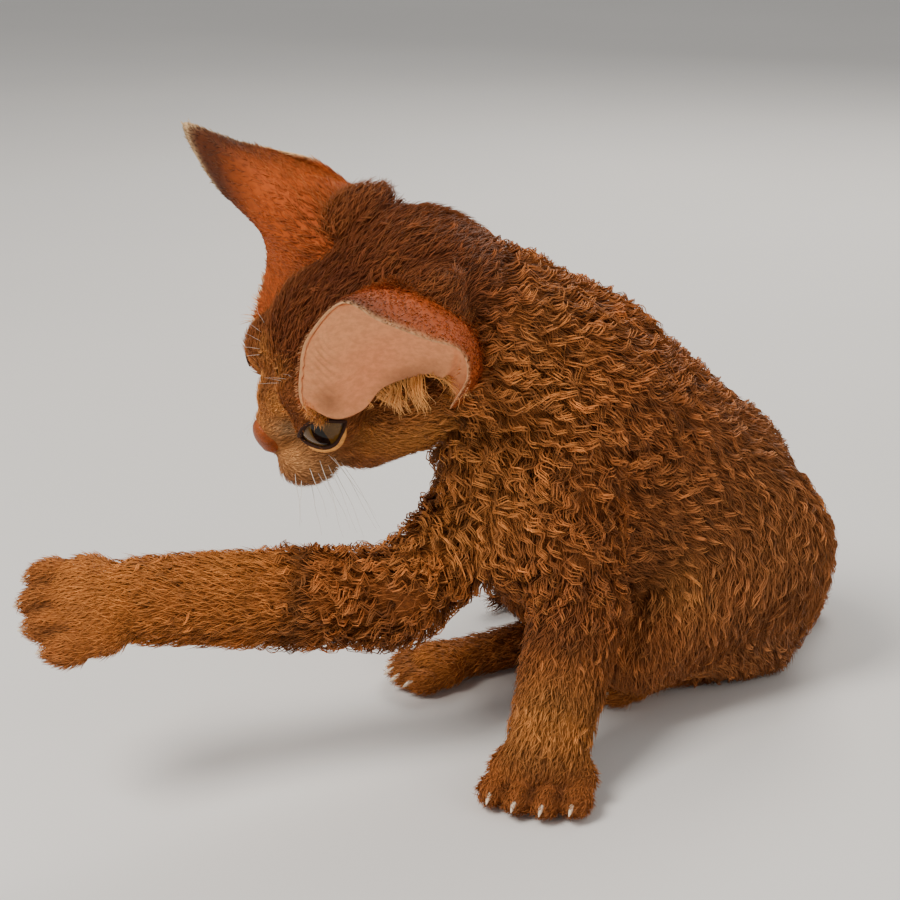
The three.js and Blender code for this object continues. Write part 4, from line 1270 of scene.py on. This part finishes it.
class KITTEN_OT_ears(bpy.types.Operator):
    """Makes both ears: thin bent sheets with a bare, ridged cup and short fur on the back"""

    bl_idname = "kitten.ears"
    bl_label = "Ears"

    def execute(self, context):
        rng = np.random.default_rng(13)
        material = ear_material()
        hair = hair_material("ear hair")
        for side, name in ((1, "ear_left"), (-1, "ear_right")):
            self.sheet(context, side, name, material)
            self.lining(context, side, name, material)
            self.tufts(context, rng, side, name, hair)
            self.back_fur(context, rng, side, name, hair)
            self.cup_hair(context, rng, side, name, hair)
        return {"FINISHED"}

    def colour(self, context, side, along, rise, outer):
        """The ear's colour: bare and pale inside with painted shade towards the canal, rufous outside, dark at
        the tip, with a cream edge.
        """
        inside, back, dark = (colours(context, name) for name in ("ear_inside", "ear_back", "dark"))
        tip = np.exp(-(((along - 0.44) / 0.22) ** 2)) * np.clip((rise - 0.5) / 0.5, 0, 1)
        base = inside * (1 - outer)[:, None] + back * outer[:, None]
        flush = np.exp(-(((rise - 0.35) / 0.3) ** 2)) * (1 - outer)
        base = base * (1 - 0.12 * flush[:, None] * np.array((0.2, 1, 1)))
        # Painted shade deep in the cup, towards the canal.
        canal_shade = np.exp(-(((along - 0.8) / 0.2) ** 2)) * np.exp(-((rise / 0.35) ** 2)) * (1 - outer)
        base = base + (0.75 * canal_shade)[:, None] * (dark - base)
        if side < 0:
            base = base + (0.6 * (1 - outer))[:, None] * (back * 1.2 - base)
        share = np.clip(tip * (0.25 + 0.6 * outer + (0.7 if side < 0 else 0.0)), 0, 0.9)
        base = base + share[:, None] * (dark - base)
        edge = np.exp(-(((1 - rise) / 0.045) ** 2)) * (0.35 if side > 0 else 0.8)
        return base + edge[:, None] * (colours(context, "cream") - base)

    def sheet(self, context, side, name, material):
        def split(round_share):
            return 1 - np.abs(2 * round_share - 1), (round_share > 0.5).astype(float)

        def place(along, round_share):
            rise, outer = split(round_share)
            return to_frame(ear_surface(side, np.clip(along, 0.002, 0.998), rise, outer))

        def flat(along, round_share):
            return np.stack([along, round_share, np.zeros(len(along))], axis=1)

        mesh = bent_grid(name + "_skin", 140, 64, place)
        shares_of = points_of(bent_grid("shares", 140, 64, flat))
        near = self.nearest(place(shares_of[:, 0], shares_of[:, 1]), points_of(mesh))
        along, round_share = shares_of[near, 0], shares_of[near, 1]
        rise, outer = split(round_share)
        set_colours(mesh, self.colour(context, side, along, rise, outer))
        add_piece(name + "_skin", mesh, material, "ear_skin", name)

    def patch(self, side, across, down):
        """A point of the bare skin that closes the cup: from its front wall to its back one, tip to mouth."""
        one = np.ones(len(across))
        down = down if side > 0 else 0.3 + 0.7 * down
        front_rise = 0.93 if side > 0 else 0.75
        back_rise = front_rise - 0.07

        def inner(along, rise):
            return ear_surface(side, along * one, rise * one, 0 * one)

        front, back = inner(0.1 + 0.33 * (1 - down), front_rise), inner(0.46 + 0.5 * down, back_rise)
        top_front, top_back = inner(0.43, front_rise), inner(0.46, back_rise)
        low_front, low_back = inner(0.1, front_rise)[0], inner(0.96, back_rise)[0]
        between = from_head(to_side(EAR_LINING_EDGE, side))
        low = curve_through(np.array([low_front, *between, low_back]), across)
        u, v = across[:, None], down[:, None]
        top = top_front + u * (top_back - top_front)
        corners = (1 - u) * ((1 - v) * top_front + v * low_front) + u * ((1 - v) * top_back + v * low_back)
        place = (1 - v) * top + v * low + (1 - u) * front + u * back - corners
        sag = np.sin(np.pi * across) * np.sin(np.pi * np.clip(down * 0.85, 0, 1))
        if side < 0:
            return place - HEAD_LEFT * sag[:, None]
        fold = 0.5 * fold_wave(across, down) * fold_window(across, down)
        lobe_share = np.clip((down - 0.62) / 0.3, 0, 1) * np.clip((across - 0.72) * 6, 0, 1)
        lobe = 1.1 * np.sin(38 * across + 5 * down) * lobe_share
        return place - HEAD_LEFT * (3.5 * sag + fold + lobe)[:, None]

    def kept_inside(self, side, points):
        """Moves points of the far ear's lining that would come through its wall back to the inner side."""
        if side > 0:
            return points
        grid = np.meshgrid(np.linspace(0.01, 0.99, 140), np.linspace(0.05, 1, 60))
        along, rise = (values.ravel() for values in grid)
        wall, outwards = ear_sheet(side, along, rise), ear_normal(side, along, rise)
        near = self.nearest(wall, points)
        gap = ((points - wall[near]) * outwards[near]).sum(axis=1)
        close = np.linalg.norm(points - wall[near], axis=1) < 6
        return points - outwards[near] * (np.maximum(gap + 1.1, 0) * close)[:, None]

    def lining(self, context, side, name, material):
        """The bare skin that closes most of the cup, with its folds, painted shade in their creases and
        painted shade at its mouth.
        """
        bm = bmesh.new()
        bmesh.ops.create_grid(bm, x_segments=80, y_segments=90, size=0.5)
        shares_of = np.array([vertex.co[:2] for vertex in bm.verts]) + 0.5
        across, down = shares_of[:, 0], shares_of[:, 1]
        points = to_frame(self.kept_inside(side, self.patch(side, across, down)))
        for vertex, point in zip(bm.verts, points):
            vertex.co = point
        tint = colours(context, "ear_inside")
        # Painted shade at the mouth of the canal and in the creases of the folds.
        dark = np.exp(-(((down - 1) / 0.12) ** 2)) * np.exp(-(((across - 0.66) / 0.2) ** 2))
        brown = np.exp(-(((down - 0.86) / 0.12) ** 2)) * np.exp(-(((across - 0.14) / 0.08) ** 2))
        fold_crease_shade = (1 - fold_wave(across, down)) ** 2 * fold_window(across, down)
        flush = np.exp(-((np.hypot(across - 0.4, down - 0.75) / 0.3) ** 2))
        shade = 1 - 0.5 * dark - 0.45 * brown - 0.3 * fold_crease_shade
        base = tint * shade[:, None] * (1 - 0.14 * flush[:, None] * np.array((0.1, 0.9, 1)))
        layer = bm.verts.layers.float_color.new("markings_and_painted_light")
        for vertex, colour in zip(bm.verts, base):
            vertex[layer] = rgba(colour)
        bmesh.ops.solidify(bm, geom=bm.faces[:], thickness=0.0007)
        bmesh.ops.recalc_face_normals(bm, faces=bm.faces)
        add_piece(name + "_lining", mesh_from(bm, name + "_lining"), material, "ear_skin")

    def tufts(self, context, rng, side, name, hair):
        """Pale wavy hairs that stand out of the dark mouth of the ear."""
        count, points = EAR_TUFT_HAIRS, 9
        across = rng.uniform(0.4, 0.98, count)
        outwards = HEAD_LEFT * side
        roots = self.patch(side, across, np.full(count, 0.97)) - outwards * rng.uniform(1, 6, count)[:, None]
        clump = np.round(across * 16)
        swing = np.stack([0.5 * np.sin(clump * 2.4), 0.2 * side * np.cos(clump * 1.7), 0 * clump], axis=1)
        way = np.array((0.15, 0.45 * side, -0.85)) + swing
        way = unit((way + rng.normal(0, 0.12, (count, 3))) @ HEAD_AXES)
        cross = unit(np.cross(way, HEAD_LEFT))
        t = np.linspace(0, 1, points)[None, :, None]
        length = rng.uniform(8, 14, count) * (0.8 + 0.3 * np.sin(clump * 3)) * (1 - 0.5 * (across > 0.84))
        sway = 1.6 * np.sin(t * 7 + clump[:, None, None]) * t
        droop = outwards * 1.5 * np.sin(t * 3)
        paths = roots[:, None] + way[:, None] * (t * length[:, None, None]) + cross[:, None] * sway + droop
        tint = np.tile(colours(context, "gold"), (count, 1))
        cream, dark = colours(context, "cream"), colours(context, "dark")
        tints = strand_tints(rng, tint, points, 0.45, cream, dark, 0.1)
        spots = np.stack([0.05 + 0.9 * across, np.full(count, 0.05)], axis=1)
        strands = Strands(paths, cross, np.full(count, 0.36), tints, spots)
        add_strands(name + "_tufts", hair, "ear_skin", strands)

    def nearest(self, from_points, to_points):
        """For each of the second points, which of the first lies nearest."""
        tree = KDTree(len(from_points))
        for i, point in enumerate(from_points):
            tree.insert(point, i)
        tree.balance()
        return np.array([tree.find(point)[1] for point in to_points])

    def strands(self, context, rng, side, name, hair, along, rise, outer, length, width, lift, tint):
        """Sets hairs on an ear's inner or outer face, lying towards its rim."""
        roots = ear_surface(side, along, rise, outer)
        outs = ear_normal(side, along, rise) * (2 * outer - 1)[:, None]
        ahead = ear_surface(side, along, np.minimum(rise + 0.03, 1), outer) - roots
        lie = along_skin(ahead, outs)
        across = np.cross(outs, lie)
        lie = unit(lie + across * rng.normal(0, 0.25, len(along))[:, None])
        across = np.cross(outs, lie)
        t = np.linspace(0, 1, 4)[None, :, None]
        rise_of = (lift * length)[:, None, None] * (t - 0.4 * t**2) * 1.5 - 0.2 * (1 - t)
        paths = roots[:, None] + lie[:, None] * (t * length[:, None, None]) + outs[:, None] * rise_of
        paths = paths + across[:, None] * (rng.normal(0, 0.2, len(along)) * length)[:, None, None] * t**2
        gold, dark = colours(context, "gold"), colours(context, "dark")
        tints = strand_tints(rng, tint, 4, 0.6, gold, dark, 0.3)
        spots = np.stack([0.05 + 0.9 * along, 0.02 + 0.46 * rise + 0.5 * outer], axis=1)
        add_strands(name, hair, "ear_skin", Strands(paths, across, width, tints, spots))

    def back_fur(self, context, rng, side, name, hair):
        """Thin fur on the back of the ear, longer and thicker at its root."""
        count = EAR_BACK_HAIRS
        along, rise = rng.uniform(0.01, 0.99, count), rng.uniform(0.02, 0.985, count)
        outer = np.ones(count)
        tint = self.colour(context, side, along, rise, outer)
        rooted = np.exp(-((rise / 0.3) ** 2)) * np.exp(-(((along - 0.62) / 0.3) ** 2))
        tint = tint + (0.9 * rooted)[:, None] * (colours(context, "crown") - tint)
        length = 3.0 * rng.uniform(0.6, 1.2, count) * (1 - 0.3 * rise) * (1 + 1.9 * rooted)
        width = 0.38 * rng.uniform(0.8, 1.2, count)
        lift = (0.16 + 0.35 * rooted) * rng.uniform(0.6, 1.5, count)
        name = name + "_fur"
        self.strands(context, rng, side, name, hair, along, rise, outer, length, width, lift, tint)

    def cup_hair(self, context, rng, side, name, hair):
        """Long pale hairs at the front and back of the cup's mouth, and a fringe on its front rim."""
        count = EAR_CUP_HAIRS
        back = rng.random(count) < 0.5
        along = np.where(back, rng.normal(0.9, 0.05, count), rng.normal(0.05, 0.03, count)).clip(0.01, 0.99)
        rise = np.where(back, rng.uniform(0.05, 0.7, count), rng.uniform(0.1, 0.98, count))
        outer = np.zeros(count)
        tint = np.tile(colours(context, "gold"), (count, 1))
        length = np.where(back, 8.0, 4.5) * rng.uniform(0.6, 1.2, count)
        width = 0.26 * rng.uniform(0.8, 1.2, count)
        lift = 0.45 * rng.uniform(0.6, 1.4, count)
        name = name + "_cup_hair"
        self.strands(context, rng, side, name, hair, along, rise, outer, length, width, lift, tint)


class KITTEN_OT_eyes(bpy.types.Operator):
    """Makes the eyeballs with their corneas, and the lids round them"""

    bl_idname = "kitten.eyes"
    bl_label = "Eyes"

    def execute(self, context):
        rim = wet_material("lid rim", colours(context, "dark") * 0.7, 0.7, 1800)
        pale = wet_material("pale lid", colours(context, "gold") * 0.8, 0.8, 1500)
        for side, name in ((1, "left"), (-1, "right")):
            self.ball(context, side, name)
            self.lids(side, name, rim)
            self.pale_line(side, name, pale)
        return {"FINISHED"}

    def ball(self, context, side, name):
        """An eyeball with the swell of its cornea."""
        radius = EYE_RADIUS * HEAD_SCALE
        centre, (wide, tall, look) = eye_centre(side), eye_axes(side)
        bm = bmesh.new()
        bmesh.ops.create_uvsphere(bm, u_segments=64, v_segments=40, radius=1)
        mesh = mesh_from(bm, "eyeball_" + name)
        local = points_of(mesh)
        swell = 1 + 0.03 * np.clip((local[:, 2] - 0.72) / 0.28, 0, 1)
        set_points(mesh, to_frame(centre + radius * (local * swell[:, None]) @ np.stack([wide, tall, look])))
        material = eye_material("eye " + name, to_frame(centre), look, wide, context)
        add_piece("eyeball_" + name, mesh, material, "eye", "eye_" + name)

    def lids(self, side, name, material):
        """The dark rim of both lids, round the slit."""
        axes, centre = eye_axes(side), eye_centre(side)
        radius = EYE_RADIUS * HEAD_SCALE + 0.6

        def place(along, round_share):
            turn, roll = along * 2 * np.pi, round_share * 2 * np.pi
            x = (SLIT_HALF + 0.35) * np.cos(turn)
            y = SLIT_TALL * (1 - np.cos(turn) ** 2) * np.sign(np.sin(turn)) + 0.35 * np.sin(turn)
            middle = unit(np.stack([x, y, np.sqrt(np.maximum(radius**2 - x**2 - y**2, 1))], axis=1))
            outward = unit(np.stack([np.cos(turn) * 0.4, np.sin(turn), np.zeros(len(turn))], axis=1))
            thick = 0.45 + 0.2 * (np.sin(turn) > 0)
            here = middle * radius + outward * (thick * np.cos(roll))[:, None]
            here = here + middle * (thick * np.sin(roll))[:, None]
            return to_frame(centre + here @ axes)

        add_piece("lids_" + name, bent_grid("lids_" + name, 96, 12, place), material, "face_fur")

    def pale_line(self, side, name, material):
        """The pale line of short hair under the lower lid, from its inner corner to its outer one."""
        across = np.linspace(-0.85, 1.0, 9)
        below = -SLIT_TALL * (1 - across**2) - 1.4
        radius = EYE_RADIUS * HEAD_SCALE + 0.9
        x = across * SLIT_HALF
        middle = np.stack([x, below, np.sqrt(radius**2 - x**2 - below**2)], axis=1)
        path = eye_centre(side) + middle @ eye_axes(side)
        widths = 0.8 * (1 - 0.7 * np.abs(across) ** 6)
        add_piece("pale_lid_" + name, tube("pale_lid_" + name, path, widths, 10), material, "face_fur")


class KITTEN_OT_nose(bpy.types.Operator):
    """Makes the nose's leather, with its two nostrils and the groove below it"""

    bl_idname = "kitten.nose"
    bl_label = "Nose"

    def execute(self, context):
        bm = bmesh.new()
        bmesh.ops.create_icosphere(bm, subdivisions=5, radius=1)
        mesh = mesh_from(bm, "nose")
        local = points_of(mesh)
        narrow = 1 - 0.35 * np.clip(-local[:, 2], 0, 1)
        shape = local * NOSE_SIZE
        shape[:, 1] *= narrow
        for side in (1, -1):
            hole = np.array((3.2, side * 2.6, -1.6))
            gap = np.linalg.norm((shape - hole) / (3.0, 1.2, 0.9), axis=1)
            shape[:, 0] -= 2.2 * np.exp(-(gap**2))
            wing = np.linalg.norm((shape - (2.0, side * 4.0, -0.2)) / (2.5, 1.4, 1.5), axis=1)
            shape += unit(shape) * (0.45 * np.exp(-(wing**2)))[:, None]
        groove = np.exp(-((shape[:, 1] / 0.45) ** 2)) * np.clip(-local[:, 2] + 0.3, 0, 1)
        shape[:, 0] -= 0.8 * groove
        set_points(mesh, to_frame(from_head(shape + NOSE_PLACE)))
        material = wet_material("nose leather", colours(context, "nose"), 0.34, 1900)
        add_piece("nose", mesh, material, "face_fur")
        return {"FINISHED"}


class KITTEN_OT_claws(bpy.types.Operator):
    """Makes a curved claw on each toe"""

    bl_idname = "kitten.claws"
    bl_label = "Claws"

    def execute(self, context):
        length = context.scene.kitten_sizes.claw / MM
        material = horn_material("claw horn", colours(context, "claw"))
        for name in PAWS:
            toe_radius = PAWS[name][3][4]
            ahead, _, up = paw_axes(name)
            for number, toe in enumerate(toe_places(name)):
                start = toe + ahead * toe_radius * 0.85 + up * 0.6
                path = [start + ahead * length * s - up * 0.32 * length * s * s for s in np.linspace(0, 1, 5)]
                path = [np.array((*point[:2], max(point[2], 0.9))) for point in path]
                piece = tube(f"claw_{name}_{number + 1}", path, [0.95, 0.9, 0.7, 0.45, 0.1], 12, 1.25)
                add_piece(piece.name, piece, material, "paw_fur")
        return {"FINISHED"}


class KITTEN_OT_whiskers(bpy.types.Operator):
    """Sets whiskers in rows on both pads, and shorter ones over the eyes"""

    bl_idname = "kitten.whiskers"
    bl_label = "Whiskers"

    def execute(self, context):
        rng = np.random.default_rng(21)
        longest = context.scene.kitten_sizes.whisker / MM
        rows = whisker_rows()
        roots = from_head([row[0] for row in rows])
        ways = unit(np.array([row[1] for row in rows]) @ HEAD_AXES)
        lengths = np.array([longest * row[2] for row in rows])
        outs = unit(slope_of(roots, outline(roots)))
        roots = roots - outs * (outline(roots) + 1.6)[:, None]
        count = len(roots)
        ways = unit(ways + outs * 0.25 + rng.normal(0, 0.14, (count, 3)))
        droop = np.array((0.1, 0.0, -1.0))
        bend = np.array([0.35 if row[0][2] < 0 else 0.03 for row in rows])[:, None, None]
        widths = np.array([0.24 if row[0][2] < 0 else 0.16 for row in rows])
        t = np.linspace(0, 1, 13)[None, :, None]
        length = (lengths * rng.uniform(0.8, 1.15, count))[:, None, None]
        side = unit(np.cross(ways, droop))
        wave = 0.5 * np.sin(t * 9 + rng.uniform(0, 6, (count, 1, 1))) * t
        fall = droop * (bend * t**2 * length)
        paths = roots[:, None] + ways[:, None] * (t * length) + fall + side[:, None] * wave
        tints = np.tile(colours(context, "whisker"), (count, 13, 1))
        shader = Shader("whisker", {"Specular IOR Level": 0.6})
        grain = shader.noise(800, 2)
        shader.surface_takes(Base_Color=shader.colour_attribute("markings_and_painted_light"), Roughness=0.3 + 0.15 * grain)
        spots = np.stack([np.full(count, 0.9), np.linspace(0.1, 0.4, count)], axis=1)
        add_strands("whiskers", shader.material, "face_fur", Strands(paths, side, widths, tints, spots))
        return {"FINISHED"}


class KITTEN_OT_stage(bpy.types.Operator):
    """Sets the pale floor, the soft lights and the camera"""

    bl_idname = "kitten.stage"
    bl_label = "Stage"

    def execute(self, context):
        self.floor(context)
        self.lights(context)
        self.camera(context)
        return {"FINISHED"}

    def floor(self, context):
        bm = bmesh.new()
        bmesh.ops.create_grid(bm, x_segments=4, y_segments=4, size=context.scene.kitten_sizes.floor / 2)
        floor = bpy.data.objects.new("floor", mesh_from(bm, "floor"))
        shader = Shader("floor", {"Specular IOR Level": 0.2})
        colour = colours(context, "floor")
        patches = shader.noise(3, 3)
        shade = shader.mixed(patches.step(0.3, 0.7), rgba(colour * 0.97), rgba(colour))
        shader.surface_takes(Base_Color=shade, Roughness=0.75 + 0.1 * patches)
        floor.data.materials.append(shader.material)
        context.collection.objects.link(floor)

    def lights(self, context):
        world = bpy.data.worlds.new("studio")
        world.use_nodes = True
        sky = world.node_tree.nodes["Background"]
        sky.inputs["Color"].default_value = (1.0, 0.97, 0.93, 1)
        sky.inputs["Strength"].default_value = 0.42
        context.scene.world = world
        target = Vector((0, 0, 0.07))
        for name, place, size, power in LAMPS:
            light = bpy.data.lights.new(name, "AREA")
            light.size = size
            light.energy = power
            light.color = (1.0, 0.93, 0.84)
            lamp = bpy.data.objects.new(name, light)
            lamp.location = place
            lamp.rotation_euler = (target - Vector(place)).to_track_quat("-Z", "Y").to_euler()
            context.collection.objects.link(lamp)

    def camera(self, context):
        camera = bpy.data.cameras.new("camera")
        camera.lens = CAMERA_LENS
        camera.sensor_width = 36
        camera.clip_start = 0.01
        camera.clip_end = 50
        item = bpy.data.objects.new("camera", camera)
        item.location = to_frame(CAMERA_PLACE)
        item.rotation_euler = (math.radians(90 - CAMERA_DOWN), 0, 0)
        context.collection.objects.link(item)
        context.scene.camera = item


class KITTEN_PT_panel(bpy.types.Panel):
    """Lists the kitten's pieces in the sidebar"""

    bl_idname = "KITTEN_PT_panel"
    bl_label = "Kitten"
    bl_space_type = "VIEW_3D"
    bl_region_type = "UI"
    bl_category = "Kitten"

    def draw(self, context):
        for group in (context.scene.kitten_sizes, context.scene.kitten_colours):
            for name in group.__annotations__:
                self.layout.prop(group, name)
        for operator in OPERATORS:
            self.layout.operator(operator.bl_idname)


OPERATORS = (
    KITTEN_OT_stage,
    KITTEN_OT_skin,
    KITTEN_OT_short_fur,
    KITTEN_OT_curls,
    KITTEN_OT_ears,
    KITTEN_OT_eyes,
    KITTEN_OT_nose,
    KITTEN_OT_claws,
    KITTEN_OT_whiskers,
)
CLASSES = (KittenColours, KittenSizes, *OPERATORS, KITTEN_PT_panel)


def register():
    for each in CLASSES:
        bpy.utils.register_class(each)
    bpy.types.Scene.kitten_colours = PointerProperty(type=KittenColours)
    bpy.types.Scene.kitten_sizes = PointerProperty(type=KittenSizes)


def unregister():
    del bpy.types.Scene.kitten_sizes
    del bpy.types.Scene.kitten_colours
    for each in reversed(CLASSES):
        bpy.utils.unregister_class(each)


def main():
    register()
    for operator in OPERATORS:
        group, name = operator.bl_idname.split(".")
        getattr(getattr(bpy.ops, group), name)()


if __name__ == "__main__":
    main()
